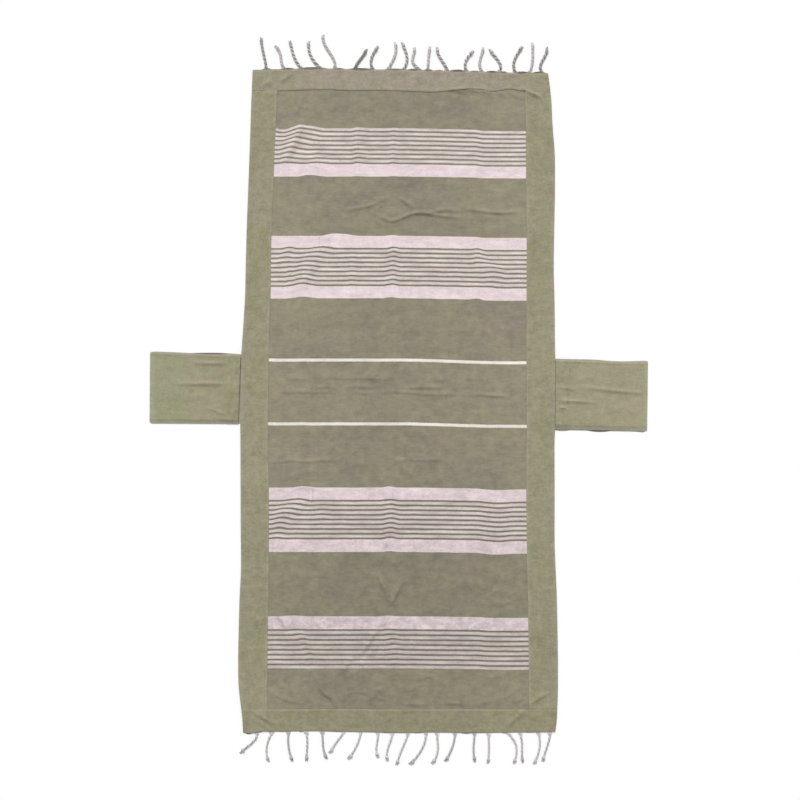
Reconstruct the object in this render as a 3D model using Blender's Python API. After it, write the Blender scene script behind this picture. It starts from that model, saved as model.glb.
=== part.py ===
# Striped hammam towel for a sun lounger, lying flat.
#
# A flat-woven centre cloth carries four plain border strips sewn on its face,
# a knotted fringe at each end and a flat pocket at each side, whose under layer
# is sewn beneath the towel's edge.
#
# Frame: X across the towel, Y along it, Z up. The origin is on the floor under
# the middle of the towel. Sizes are in metres.

import math
from collections import namedtuple

import bpy
from mathutils import Vector
from mathutils.geometry import delaunay_2d_cdt

# Cloth thicknesses, and the clearance between separate pieces
CLOTH = 0.0012
STRIP = 0.0010
POCKET_CLOTH = 0.0010
GAP = 0.0003
LAYER_GAP = 0.00036     # between sewn layers, so that it keeps to GAP on a slope too

# Edges and strip seams of the towel, one row for each station along its length
SideRow = namedtuple("SideRow", "y left right left_seam right_seam")
SIDE_ROWS = [
    SideRow(-1.000, -0.4540, 0.4555, -0.3810, 0.3810),
    SideRow(-0.960, -0.4575, 0.4605, -0.3820, 0.3810),
    SideRow(-0.850, -0.4705, 0.4655, -0.3840, 0.3820),
    SideRow(-0.620, -0.4715, 0.4685, -0.3855, 0.3840),
    SideRow(-0.440, -0.4705, 0.4640, -0.3880, 0.3855),
    SideRow(-0.150, -0.4750, 0.4660, -0.3915, 0.3875),
    SideRow(0.150, -0.4760, 0.4700, -0.3910, 0.3890),
    SideRow(0.280, -0.4690, 0.4730, -0.3890, 0.3910),
    SideRow(0.465, -0.4650, 0.4750, -0.3865, 0.3925),
    SideRow(0.715, -0.4620, 0.4785, -0.3825, 0.3930),
    SideRow(0.905, -0.4590, 0.4725, -0.3790, 0.3915),
    SideRow(1.000, -0.4545, 0.4630, -0.3770, 0.3900),
]

# The same at the two ends, one row for each station across
EndRow = namedtuple("EndRow", "x near_edge near_seam far_seam far_edge")
END_ROWS = [
    EndRow(-0.460, -0.9980, -0.9330, 0.9350, 1.0010),
    EndRow(-0.415, -1.0040, -0.9335, 0.9350, 1.0025),
    EndRow(-0.360, -0.9985, -0.9335, 0.9355, 1.0040),
    EndRow(-0.240, -0.9980, -0.9330, 0.9360, 1.0060),
    EndRow(-0.120, -0.9990, -0.9330, 0.9350, 1.0030),
    EndRow(0.010, -1.0025, -0.9335, 0.9335, 1.0025),
    EndRow(0.100, -1.0010, -0.9335, 0.9300, 1.0000),
    EndRow(0.215, -1.0025, -0.9330, 0.9395, 0.9970),
    EndRow(0.330, -0.9990, -0.9335, 0.9390, 0.9930),
    EndRow(0.465, -0.9970, -0.9345, 0.9320, 0.9905),
]

# Where an end strip climbs over a side strip: it is at full height from SHOULDER
# inside the side seam outwards, and lies on the centre cloth again from FOOT
SHOULDER = 0.002
FOOT = 0.014

# Soft folds in the lying cloth: the two ends of the crest, how far its middle
# bows to the left of the way from the first end to the second, half the width
# at the foot, and the height
Fold = namedtuple("Fold", "x0 y0 x1 y1 bow half_width height")
FOLDS = [
    Fold(-0.290, 0.850, -0.356, 0.695, 0.004, 0.017, 0.0070),
    Fold(-0.256, 0.840, -0.247, 0.660, 0.000, 0.010, 0.0025),
    Fold(-0.128, 0.840, -0.126, 0.650, 0.000, 0.010, 0.0025),
    Fold(-0.018, 0.840, -0.017, 0.620, 0.000, 0.009, 0.0020),
    Fold(-0.096, 0.562, -0.004, 0.512, -0.004, 0.014, 0.0050),
    Fold(-0.030, 0.516, 0.090, 0.541, 0.007, 0.013, 0.0060),
    Fold(0.050, 0.538, 0.192, 0.520, -0.002, 0.011, 0.0045),
    Fold(0.070, 0.552, 0.262, 0.543, 0.004, 0.012, 0.0045),
    Fold(0.230, 0.546, 0.400, 0.547, -0.006, 0.012, 0.0035),
    Fold(-0.250, 0.480, -0.160, 0.462, 0.003, 0.013, 0.0040),
    Fold(-0.232, 0.445, -0.305, 0.295, 0.002, 0.013, 0.0040),
    Fold(-0.344, 0.465, -0.328, 0.275, 0.000, 0.011, 0.0030),
    Fold(-0.017, 0.500, -0.017, 0.250, 0.000, 0.009, 0.0030),
    Fold(0.240, 0.500, 0.237, 0.230, 0.000, 0.010, 0.0030),
    Fold(-0.310, 0.032, 0.090, 0.033, 0.000, 0.008, 0.0015),
    Fold(-0.240, -0.018, 0.350, -0.022, 0.000, 0.008, 0.0015),
    Fold(-0.335, -0.169, 0.020, -0.170, 0.000, 0.008, 0.0015),
    Fold(-0.388, -0.392, -0.238, -0.320, 0.006, 0.015, 0.0045),
    Fold(-0.025, -0.265, -0.025, -0.505, 0.000, 0.009, 0.0030),
    Fold(0.234, -0.265, 0.232, -0.505, 0.000, 0.010, 0.0020),
    Fold(-0.280, -0.715, -0.255, -0.868, -0.003, 0.011, 0.0035),
    Fold(-0.262, -0.840, -0.160, -0.930, -0.003, 0.012, 0.0040),
    Fold(-0.120, -0.822, -0.058, -0.742, 0.000, 0.011, 0.0030),
    Fold(-0.022, -0.640, -0.022, -0.910, 0.000, 0.009, 0.0025),
    Fold(0.205, -0.880, 0.362, -0.812, 0.005, 0.016, 0.0035),
    Fold(-0.430, -0.930, -0.355, -0.986, 0.002, 0.010, 0.0030),
    Fold(0.305, -0.986, 0.452, -0.880, 0.003, 0.012, 0.0035),
    Fold(0.375, 0.942, 0.462, 0.884, 0.004, 0.012, 0.0040),
    Fold(-0.428, 0.940, -0.385, 0.962, 0.000, 0.010, 0.0025),
]

# Pitch of the net of triangles along edges, across the flat, and on a fold
EDGE_PITCH = 0.048
FLAT_PITCH = 0.125
FOLD_PITCH = 0.017
FOLD_LINES = (-1.0, -0.5, 0.0, 0.5, 1.0)
CLEAR_OF_POINTS = 0.0042
CLEAR_OF_LINES = 0.0025
RUN_OUT = 0.010

# Side pockets, each in its own frame: X outwards from the middle of the mouth,
# Y across. turn is its angle about Z, in degrees, and skew how much longer the
# pocket is towards +Y, for each metre across.
Pocket = namedtuple("Pocket", "name x y turn skew length mouth_width end_width creases")
Crease = namedtuple("Crease", "start stop across height")
POCKETS = [
    Pocket(
        "pocket_left", -0.4790, 0.0077, 178.8, -0.022, 0.2705, 0.2090, 0.2160,
        [Crease(0.035, 0.140, -0.072, 0.0020), Crease(0.030, 0.185, -0.013, 0.0022)],
    ),
    Pocket(
        "pocket_right", 0.4725, -0.0070, -1.2, 0.000, 0.2770, 0.2130, 0.2130,
        [Crease(0.005, 0.265, 0.018, 0.0022), Crease(0.002, 0.120, -0.020, 0.0020)],
    ),
]
TUCK = 0.018            # under layer beneath the towel's edge
SEAM = 0.005            # sewn width along a pocket's sides
LIP = 0.0025            # how far the under layer shows past the upper one
LIP_END = 0.0006
CREASE_HALF_WIDTH = 0.009
HOLLOW = 0.0009         # space between the two layers
MOUTH_RISE = 0.0008     # and what the puckered mouth adds to it
PUCKERS = 3
POCKET_PITCH = 0.024

# The towel's edge rides over a pocket's under layer, and comes down beside it
TAB_CLEAR = 0.003
TAB_RAMP = 0.025

# Fringe strands from left to right: where each leaves the towel's end, how far
# it reaches and leans sideways, and how far it strays from that straight line
# a third and two thirds of the way along
Strand = namedtuple("Strand", "x reach lean bow sway")
FAR_STRANDS = [
    Strand(-0.410, 0.098, -0.016, 0.000, -0.002),
    Strand(-0.354, 0.073, -0.031, 0.001, 0.007),
    Strand(-0.302, 0.086, -0.036, -0.007, -0.004),
    Strand(-0.243, 0.083, -0.036, -0.012, -0.010),
    Strand(-0.197, 0.104, -0.037, 0.004, -0.005),
    Strand(-0.135, 0.061, 0.035, -0.001, 0.002),
    Strand(-0.080, 0.071, 0.016, -0.011, -0.008),
    Strand(-0.032, 0.083, 0.021, 0.008, 0.009),
    Strand(0.016, 0.084, -0.005, 0.012, 0.008),
    Strand(0.068, 0.068, -0.020, -0.017, -0.007),
    Strand(0.091, 0.071, 0.006, -0.001, -0.001),
    Strand(0.151, 0.071, -0.031, -0.003, -0.006),
    Strand(0.210, 0.063, 0.024, -0.012, -0.010),
    Strand(0.257, 0.074, 0.006, -0.008, -0.004),
    Strand(0.310, 0.071, -0.026, 0.013, 0.005),
    Strand(0.362, 0.081, 0.022, -0.013, -0.009),
    Strand(0.406, 0.093, 0.010, 0.005, 0.003),
    Strand(0.444, 0.079, 0.015, -0.008, 0.001),
]
NEAR_STRANDS = [
    Strand(-0.414, 0.057, -0.049, 0.011, 0.005),
    Strand(-0.368, 0.082, -0.010, -0.010, -0.009),
    Strand(-0.321, 0.081, 0.013, -0.005, -0.005),
    Strand(-0.270, 0.081, 0.003, 0.003, 0.001),
    Strand(-0.223, 0.075, 0.015, -0.003, -0.005),
    Strand(-0.158, 0.058, -0.043, -0.003, -0.002),
    Strand(-0.110, 0.074, -0.037, 0.005, 0.005),
    Strand(-0.060, 0.068, 0.002, -0.003, -0.006),
    Strand(-0.018, 0.076, -0.014, -0.003, -0.006),
    Strand(0.028, 0.087, -0.033, -0.001, -0.002),
    Strand(0.080, 0.089, -0.049, 0.011, 0.010),
    Strand(0.111, 0.086, -0.015, 0.009, 0.011),
    Strand(0.164, 0.078, -0.028, 0.006, 0.005),
    Strand(0.222, 0.078, 0.001, -0.003, -0.004),
    Strand(0.262, 0.083, -0.002, 0.002, 0.002),
    Strand(0.318, 0.085, 0.018, 0.017, 0.012),
    Strand(0.354, 0.082, 0.008, 0.003, 0.000),
    Strand(0.408, 0.087, -0.015, 0.009, 0.008),
    Strand(0.442, 0.080, -0.022, 0.002, 0.000),
]
HEADER = 0.003          # depth of the strip that the strands grow from
HEADER_END = 0.012      # and its length past the outer strands
STRAND_ROOT = 0.0044
STRAND_WIDTH = 0.0052
STRAND_HEIGHT = 0.0048
STRAND_STEPS = 6
# The knot and the brush past it: distance from the tip, width, height
Knot = namedtuple("Knot", "from_tip width height")
KNOT_ROWS = [
    Knot(0.0185, 0.0050, 0.0050),
    Knot(0.0155, 0.0105, 0.0084),
    Knot(0.0090, 0.0105, 0.0084),
    Knot(0.0065, 0.0048, 0.0050),
    Knot(0.0000, 0.0066, 0.0034),
]
TOP_TAPER = 0.75        # a strand's upper side, of its width on the floor

# Colours (linear) and roughness
PANEL_COLOUR = (0.290, 0.252, 0.180)
BORDER_COLOUR = (0.325, 0.302, 0.188)
FRINGE_COLOUR = (0.300, 0.280, 0.235)
ROUGHNESS = 0.92


def clear_scene():
    for thing in list(bpy.data.objects):
        bpy.data.objects.remove(thing, do_unlink=True)


def cloth_material(name, colour):
    material = bpy.data.materials.new(name)
    material.use_nodes = True
    shader = material.node_tree.nodes["Principled BSDF"]
    shader.inputs["Base Color"].default_value = (*colour, 1.0)
    shader.inputs["Roughness"].default_value = ROUGHNESS
    shader.inputs["Metallic"].default_value = 0.0
    return material


def add_object(name, points, faces, material):
    mesh = bpy.data.meshes.new(name)
    mesh.from_pydata(points, [], faces)
    mesh.validate()
    mesh.materials.append(material)
    thing = bpy.data.objects.new(name, mesh)
    bpy.context.collection.objects.link(thing)
    return thing


def clamp(value):
    return min(1.0, max(0.0, value))


def stations(start, stop, pitch):
    count = max(1, round(abs(stop - start) / pitch))
    return [start + (stop - start) * i / count for i in range(count + 1)]


# Value of a column on a smooth curve through the rows
def smooth(rows, key, column, position):
    keys = [getattr(row, key) for row in rows]
    values = [getattr(row, column) for row in rows]
    last = len(rows) - 1
    i = 0
    while i < last - 1 and position > keys[i + 1]:
        i += 1

    def slope(k):
        low = max(0, k - 1)
        high = min(last, k + 1)
        return (values[high] - values[low]) / (keys[high] - keys[low])

    span = keys[i + 1] - keys[i]
    t = clamp((position - keys[i]) / span)
    rise = t * t * (3.0 - 2.0 * t)
    ease_out = t * (1.0 - t) ** 2 * span
    ease_in = t * t * (1.0 - t) * span
    level = values[i] + (values[i + 1] - values[i]) * rise
    return level + slope(i) * ease_out - slope(i + 1) * ease_in


# The other coordinate of a line of points, where it passes the given one
def along(line, axis, position):
    other = 1 - axis
    i = 0
    while i < len(line) - 2 and position > line[i + 1][axis]:
        i += 1
    start = line[i]
    stop = line[i + 1]
    t = (position - start[axis]) / (stop[axis] - start[axis])
    return start[other] + (stop[other] - start[other]) * t


# Outline and seams of the towel, as lines of points
def towel_lines():
    def across(column):
        left = smooth(SIDE_ROWS, "y", "left", -1.0 if "near" in column else 1.0)
        right = smooth(SIDE_ROWS, "y", "right", -1.0 if "near" in column else 1.0)
        xs = stations(left, right, EDGE_PITCH)
        return [(x, smooth(END_ROWS, "x", column, x)) for x in xs]

    lines = {"near_edge": across("near_edge"), "far_edge": across("far_edge")}

    def lengthwise(column, near_y, far_y):
        ys = stations(near_y, far_y, EDGE_PITCH)
        return [(smooth(SIDE_ROWS, "y", column, y), y) for y in ys]

    for side, end in (("left", 0), ("right", -1)):
        near = lines["near_edge"][end]
        far = lines["far_edge"][end]
        lines[side] = [near] + lengthwise(side, near[1], far[1])[1:-1] + [far]
        lines[side + "_seam"] = lengthwise(side + "_seam", -1.0 - RUN_OUT, 1.0 + RUN_OUT)

    for end in ("near", "far"):
        left = smooth(SIDE_ROWS, "y", "left", 0.95) - RUN_OUT
        right = smooth(SIDE_ROWS, "y", "right", 0.95) + RUN_OUT
        xs = stations(left, right, EDGE_PITCH)
        column = end + "_seam"
        lines[column] = [(x, smooth(END_ROWS, "x", column, x)) for x in xs]
    return lines


# Where the towel lies on a pocket's under layer: the four sides of the raised
# patch and of its foot, square to the towel
def tab_patches():
    patches = []
    for pocket in POCKETS:
        outwards = 1.0 if pocket.x > 0.0 else -1.0
        lean = abs(math.sin(math.radians(pocket.turn))) * pocket.mouth_width / 2.0
        inner = pocket.x - outwards * (TUCK + lean + TAB_CLEAR)
        half = pocket.mouth_width / 2.0 + LIP + TAB_CLEAR
        patches.append((outwards, inner, pocket.y - half, pocket.y + half))
    return patches


# How high the towel's underside lies above the floor
def lie(x, y):
    height = 0.0
    for fold in FOLDS:
        run_x = fold.x1 - fold.x0
        run_y = fold.y1 - fold.y0
        length = math.hypot(run_x, run_y)
        t = ((x - fold.x0) * run_x + (y - fold.y0) * run_y) / length ** 2
        if t <= 0.0 or t >= 1.0:
            continue
        aside = ((y - fold.y0) * run_x - (x - fold.x0) * run_y) / length
        aside -= 4.0 * fold.bow * t * (1.0 - t)
        q = aside / fold.half_width
        if abs(q) < 1.0:
            height += fold.height * math.sin(math.pi * t) ** 0.7 * (1.0 - q * q) ** 2
    slack = 0.0001
    for outwards, inner, low, high in tab_patches():
        short = max(0.0, outwards * (inner - x), low - y, y - high)
        height += (POCKET_CLOTH + LAYER_GAP) * clamp((TAB_RAMP + slack - short) / TAB_RAMP)
    return height


def near_a_line(point, segments):
    for start, stop in segments:
        run = stop - start
        t = clamp((point - start).dot(run) / run.length_squared)
        if (start + run * t - point).length < CLEAR_OF_LINES:
            return True
    return False


# One net of triangles for the whole towel, which every layer shares, so that
# the layers stay the same distance apart
def towel_net(lines):
    points = []
    edges = []

    def add_line(line):
        first = len(points)
        points.extend(Vector(p) for p in line)
        edges.extend((i, i + 1) for i in range(first, len(points) - 1))

    for line in lines.values():
        add_line(line)
    for side, inwards in (("left_seam", 1.0), ("right_seam", -1.0)):
        for offset in (SHOULDER, FOOT):
            shifted = [(x + inwards * offset, y) for x, y in lines[side]]
            start = next(i for i, p in enumerate(shifted) if p[1] > 0.90) - 1
            add_line(shifted[start:])
            stop = next(i for i, p in enumerate(shifted) if p[1] > -0.90)
            add_line(shifted[:stop + 1])
    for outwards, inner, low, high in tab_patches():
        outer = inner + outwards * (TUCK + RUN_OUT * 2.0)
        for wider in (0.0, TAB_RAMP):
            x = inner - outwards * wider
            bottom = low - wider
            top = high + wider
            add_line([(outer, bottom), (x, bottom), (x, top), (outer, top)])

    segments = [(points[a], points[b]) for a, b in edges]
    loose = []

    def add_point(point):
        x, y = point
        inside_x = along(lines["left"], 1, y) < x < along(lines["right"], 1, y)
        inside_y = along(lines["near_edge"], 0, x) < y < along(lines["far_edge"], 0, x)
        if not (inside_x and inside_y) or near_a_line(point, segments):
            return
        if all((point - other).length > CLEAR_OF_POINTS for other in loose):
            loose.append(point)

    for fold in FOLDS:
        start = Vector((fold.x0, fold.y0))
        run = Vector((fold.x1, fold.y1)) - start
        aside = Vector((-run.y, run.x)).normalized()
        for step in stations(0.0, 1.0, FOLD_PITCH / run.length):
            crest = start + run * step + aside * 4.0 * fold.bow * step * (1.0 - step)
            at_an_end = step in (0.0, 1.0)
            for offset in (0.0,) if at_an_end else FOLD_LINES:
                add_point(crest + aside * offset * fold.half_width)
    for x in stations(-0.45, 0.45, FLAT_PITCH):
        for y in stations(-0.97, 0.97, FLAT_PITCH):
            add_point(Vector((x, y)))

    result = delaunay_2d_cdt(points + loose, edges, [], 1, 1e-6)
    verts = result[0]
    triangles = []
    for face in result[2]:
        a, b, c = (verts[i] for i in face)
        turn = (b - a).cross(c - a)
        triangles.append(tuple(face) if turn > 0.0 else tuple(reversed(face)))
    return verts, triangles


# A sheet of cloth on some of the net's triangles
def sheet(name, net, belongs, underside, thickness, material):
    verts, triangles = net
    chosen = []
    for triangle in triangles:
        centre = sum((verts[i] for i in triangle), Vector((0.0, 0.0))) / 3.0
        if belongs(centre.x, centre.y):
            chosen.append(triangle)
    used = sorted({i for triangle in chosen for i in triangle})
    number = {old: new for new, old in enumerate(used)}
    low = [(verts[i].x, verts[i].y, underside(verts[i].x, verts[i].y)) for i in used]
    high = [(x, y, z + thickness) for x, y, z in low]
    count = len(used)
    faces = []
    sides = set()
    for triangle in chosen:
        a, b, c = (number[i] for i in triangle)
        faces.append((a + count, b + count, c + count))
        faces.append((c, b, a))
        sides.update(((a, b), (b, c), (c, a)))
    for a, b in sorted(sides):
        if (b, a) not in sides:
            faces.append((a, b, b + count, a + count))
    return add_object(name, low + high, faces, material)


def build_cloth_and_border(lines, net):
    left = lines["left_seam"]
    right = lines["right_seam"]
    on_cloth = CLOTH + LAYER_GAP

    def over_strip(x, y):
        inside = min(x - along(left, 1, y), along(right, 1, y) - x)
        slack = 0.0001
        return (STRIP + LAYER_GAP) * clamp((FOOT - inside) / (FOOT - SHOULDER - slack))

    panel = cloth_material("panel_cloth", PANEL_COLOUR)
    border = cloth_material("border_cloth", BORDER_COLOUR)
    sheet("towel", net, lambda x, y: True, lie, CLOTH, panel)
    sides = {
        "border_left": lambda x, y: x < along(left, 1, y),
        "border_right": lambda x, y: x > along(right, 1, y),
    }
    for name, belongs in sides.items():
        sheet(name, net, belongs, lambda x, y: lie(x, y) + on_cloth, STRIP, border)
    ends = {
        "border_top": lambda x, y: y > along(lines["far_seam"], 0, x),
        "border_bottom": lambda x, y: y < along(lines["near_seam"], 0, x),
    }
    for name, belongs in ends.items():
        sheet(name, net, belongs, lambda x, y: lie(x, y) + on_cloth + over_strip(x, y), STRIP, border)


# A closed slab on a grid of rows and columns, with its own under and upper side
def slab(name, rows, columns, place, under, upper, material):
    wide = len(columns)
    count = len(rows) * wide
    low = [place(s, t, under(s, t)) for s in rows for t in columns]
    high = [place(s, t, upper(s, t)) for s in rows for t in columns]
    faces = []
    for i in range(len(rows) - 1):
        for j in range(wide - 1):
            a = i * wide + j
            cell = (a, a + wide, a + wide + 1, a + 1)
            faces.append(tuple(k + count for k in cell))
            faces.append(tuple(reversed(cell)))
    rim = [j for j in range(wide)]
    rim += [i * wide + wide - 1 for i in range(1, len(rows))]
    rim += [(len(rows) - 1) * wide + j for j in range(wide - 2, -1, -1)]
    rim += [i * wide for i in range(len(rows) - 2, 0, -1)]
    for a, b in zip(rim, rim[1:] + rim[:1]):
        faces.append((a, a + count, b + count, b))
    return add_object(name, low + high, faces, material)


def pocket_height(pocket, s, t):
    height = 0.0
    for crease in pocket.creases:
        f = (s - crease.start) / (crease.stop - crease.start)
        q = (t - crease.across) / CREASE_HALF_WIDTH
        if 0.0 < f < 1.0 and abs(q) < 1.0:
            height += crease.height * math.sin(math.pi * f) ** 0.7 * (1.0 - q * q) ** 2
    wave = 0.5 + 0.5 * math.cos(2.0 * math.pi * PUCKERS * t / pocket.mouth_width)
    height += MOUTH_RISE * wave * clamp(1.0 - s / 0.05)
    half = pocket.mouth_width / 2.0
    edge = clamp((half - SEAM - abs(t)) / 0.012)
    end = clamp((pocket.length - SEAM - s) / 0.012)
    return (HOLLOW + height) * min(edge, end)


# A pocket is one piece of cloth, folded at its outer end and sewn at its sides.
# t is measured as at the mouth, and the cloth is wider or narrower at the fold.
def build_pocket(pocket, material):
    half = pocket.mouth_width / 2.0
    step = 0.0003
    top = POCKET_CLOTH * 2.0

    def place(s, t, z):
        part = clamp(s / pocket.length)
        widen = 1.0 + (pocket.end_width / pocket.mouth_width - 1.0) * part
        lip = LIP_END + (LIP - LIP_END) * clamp(1.0 - s / (pocket.length * 0.55))
        y = t * widen
        if t < -half - step:
            y = -half * widen - lip
        return (s + pocket.skew * y * part, y, z)

    def under(s, t):
        return 0.0006 if s > pocket.length - step else 0.0

    def upper(s, t):
        if s < -step / 2.0 or abs(t) > half + step / 2.0:
            return POCKET_CLOTH
        if s > pocket.length - step:
            return top - 0.0006
        return top + pocket_height(pocket, s, t)

    rows = [-TUCK, -step] + stations(0.0, pocket.length - 0.002, POCKET_PITCH) + [pocket.length]
    middle = set(stations(-half + SEAM, half - SEAM, POCKET_PITCH))
    for crease in pocket.creases:
        near = [t for t in middle if abs(t - crease.across) < CREASE_HALF_WIDTH + 0.005]
        middle.difference_update(near)
        middle.update(crease.across + q * CREASE_HALF_WIDTH for q in (-1.0, -0.5, 0.0, 0.5, 1.0))
    columns = [-half - LIP, -half - step, -half] + sorted(middle) + [half, half + step, half + LIP_END]
    pocket_solid = slab(pocket.name, rows, columns, place, under, upper, material)

    # the space inside, open at the mouth
    inside_rows = [-0.010, 0.0] + [s for s in rows if 0.001 < s < pocket.length - SEAM]
    inside_columns = sorted(middle)
    space = slab(
        pocket.name + "_space",
        inside_rows,
        inside_columns,
        place,
        lambda s, t: POCKET_CLOTH,
        lambda s, t: POCKET_CLOTH + 0.0002 + pocket_height(pocket, max(s, 0.0), t),
        material,
    )
    space.hide_render = True
    space.display_type = "WIRE"
    for thing in (pocket_solid, space):
        thing.location = (pocket.x, pocket.y, 0.0)
        thing.rotation_euler = (0.0, 0.0, math.radians(pocket.turn))
    cut = pocket_solid.modifiers.new("inside", "BOOLEAN")
    cut.operation = "DIFFERENCE"
    cut.solver = "EXACT"
    cut.object = space


# Sideways place of a strand at a part f of its reach: straight from root to tip,
# plus a cubic through its two named strays
def strand_path(strand, f):
    first = 0.35
    second = 0.70
    bow = f * (f - second) * (f - 1.0) / (first * (first - second) * (first - 1.0))
    sway = f * (f - first) * (f - 1.0) / (second * (second - first) * (second - 1.0))
    return strand.lean * f + strand.bow * bow + strand.sway * sway


# Sections of a strand from just past its root to its tip: place along the
# reach, width and height
def strand_sections(strand):
    sections = []
    body = strand.reach - KNOT_ROWS[0].from_tip
    for i in range(1, STRAND_STEPS):
        sections.append((body * i / STRAND_STEPS, STRAND_WIDTH, STRAND_HEIGHT))
    for knot in KNOT_ROWS:
        sections.append((strand.reach - knot.from_tip, knot.width, knot.height))
    return sections


# A fringe: a narrow strip along the cloth's edge, from which the strands grow
def build_fringe(name, strands, edge, outwards, material):
    points = []
    faces = []

    def add_face(*corners):
        faces.append(corners if outwards < 0.0 else tuple(reversed(corners)))

    first = strands[0].x - HEADER_END
    last = strands[-1].x + HEADER_END
    roots = [strand.x + side * STRAND_ROOT / 2.0 for strand in strands for side in (-1.0, 1.0)]
    clear_of_root = STRAND_ROOT / 2.0 + 0.0005
    between = [
        x for x, y in edge
        if first < x < last and all(abs(x - strand.x) > clear_of_root for strand in strands)
    ]
    xs = sorted([first, last] + roots + between)
    for x in xs:
        y = along(edge, 0, x) + outwards * GAP
        for dy, z in ((0.0, 0.0), (HEADER, 0.0), (HEADER, CLOTH), (0.0, CLOTH)):
            points.append((x, y + outwards * dy, z))

    starts = {xs.index(strand.x - STRAND_ROOT / 2.0): strand for strand in strands}
    for i in range(len(xs) - 1):
        a = 4 * i
        b = a + 4
        grows = i in starts
        for k in range(4):
            if k == 1 and grows:
                continue
            m = (k + 1) % 4
            add_face(a + k, b + k, b + m, a + m)
    add_face(0, 1, 2, 3)
    end = 4 * (len(xs) - 1)
    add_face(end + 3, end + 2, end + 1, end)

    for i, strand in starts.items():
        a = 4 * i
        ring = [a + 1, a + 5, a + 6, a + 2]
        y0 = along(edge, 0, strand.x) + outwards * (GAP + HEADER)
        for place, width, height in strand_sections(strand):
            f = place / strand.reach
            ahead = strand_path(strand, f + 0.01)
            behind = strand_path(strand, f - 0.01)
            across = Vector((1.0, -(ahead - behind) / (0.02 * strand.reach))).normalized()
            x = strand.x + strand_path(strand, f)
            y = y0 + outwards * place
            new = []
            for side, up in ((-0.5, 0.0), (0.5, 0.0), (0.5, 1.0), (-0.5, 1.0)):
                shift = across * side * width * (TOP_TAPER if up else 1.0)
                new.append(len(points))
                points.append((x + shift.x, y + outwards * shift.y, up * height))
            for k in range(4):
                m = (k + 1) % 4
                add_face(ring[k], ring[m], new[m], new[k])
            ring = new
        add_face(*ring)
    return add_object(name, points, faces, material)


def main():
    clear_scene()
    lines = towel_lines()
    net = towel_net(lines)
    build_cloth_and_border(lines, net)
    pocket_cloth = cloth_material("pocket_cloth", BORDER_COLOUR)
    for pocket in POCKETS:
        build_pocket(pocket, pocket_cloth)
    yarn = cloth_material("fringe_yarn", FRINGE_COLOUR)
    build_fringe("fringe_top", FAR_STRANDS, lines["far_edge"], 1.0, yarn)
    build_fringe("fringe_bottom", NEAR_STRANDS, lines["near_edge"], -1.0, yarn)


main()
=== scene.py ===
# A striped hammam towel for a sun lounger, lying flat on a pale floor: the woven
# centre cloth, four border strips sewn on its face, two side pockets, a knotted
# fringe at each end and the stitching.
# X runs across the towel, Y along it and Z up. Lengths are in metres.
import math
import random

import bmesh
import bpy
import numpy as np
from mathutils import Matrix, Vector, noise


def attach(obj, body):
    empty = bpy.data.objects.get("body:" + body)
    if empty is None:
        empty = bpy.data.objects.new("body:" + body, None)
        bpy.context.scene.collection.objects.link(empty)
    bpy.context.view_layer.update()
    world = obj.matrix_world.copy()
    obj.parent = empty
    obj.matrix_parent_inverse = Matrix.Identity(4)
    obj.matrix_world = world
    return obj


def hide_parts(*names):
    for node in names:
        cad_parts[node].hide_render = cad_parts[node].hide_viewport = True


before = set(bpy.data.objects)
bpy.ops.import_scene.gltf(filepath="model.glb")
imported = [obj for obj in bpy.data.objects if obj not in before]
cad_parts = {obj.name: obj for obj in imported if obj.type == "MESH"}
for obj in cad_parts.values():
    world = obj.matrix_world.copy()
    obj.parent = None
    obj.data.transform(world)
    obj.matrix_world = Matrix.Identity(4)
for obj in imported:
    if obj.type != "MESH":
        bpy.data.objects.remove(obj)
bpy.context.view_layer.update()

chance = random.Random(11)


def paint(red, green, blue):  # a colour seen on a screen, as light
    levels = [(c / 255.0 + 0.055) / 1.055 for c in (red, green, blue)]
    return tuple(level ** 2.4 for level in levels) + (1.0,)


def curveThrough(keys, values):  # a smooth line through some marks
    keys = np.array(keys, float)
    values = np.array(values, float)
    before = np.r_[0, np.arange(len(keys) - 1)]
    after = np.r_[np.arange(1, len(keys)), len(keys) - 1]
    slopes = (values[after] - values[before]) / (keys[after] - keys[before])

    def at(position):
        position = np.clip(position, keys[0], keys[-1])
        i = np.clip(np.searchsorted(keys, position, side="right") - 1, 0, len(keys) - 2)
        span = keys[i + 1] - keys[i]
        t = (position - keys[i]) / span
        rise = values[i] + (values[i + 1] - values[i]) * t * t * (3 - 2 * t)
        return rise + span * (slopes[i] * t * (1 - t) ** 2 - slopes[i + 1] * t * t * (1 - t))

    return at


def ease(value):  # 0 to 1, gently at both ends
    value = np.clip(value, 0.0, 1.0)
    return value * value * (3 - 2 * value)


def bell(q):  # 1 in the middle, down to 0 at 1 on both sides
    return np.where(np.abs(q) < 1.0, (1.0 - q * q) ** 2, 0.0)


def roughAt(x, y, perX, perY, seed):  # smooth noise over some places, -1 to 1
    spots = zip(np.ravel(x) * perX, np.ravel(y) * perY)
    return np.array([noise.noise(Vector((a, b, seed))) for a, b in spots]).reshape(np.shape(x))


def ridgeAt(x, y, x0, y0, x1, y1, half, rise, bow=0.0):  # a soft fold from one end to the other
    length = math.hypot(x1 - x0, y1 - y0)
    inside = np.clip(((x - x0) * (x1 - x0) + (y - y0) * (y1 - y0)) / length ** 2, 0.0, 1.0)
    aside = ((y - y0) * (x1 - x0) - (x - x0) * (y1 - y0)) / length
    fromCrest = aside - 4 * bow * inside * (1 - inside)
    return rise * np.sin(math.pi * inside) ** 0.7 * bell(fromCrest / half)


def shownAt(place, marks, fullness):  # how far a cloth shows past an edge, from starts, stops and sizes
    return sum(size * bell((2 * place - start - stop) / (stop - start)) ** fullness
               for start, stop, size in marks)


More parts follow.
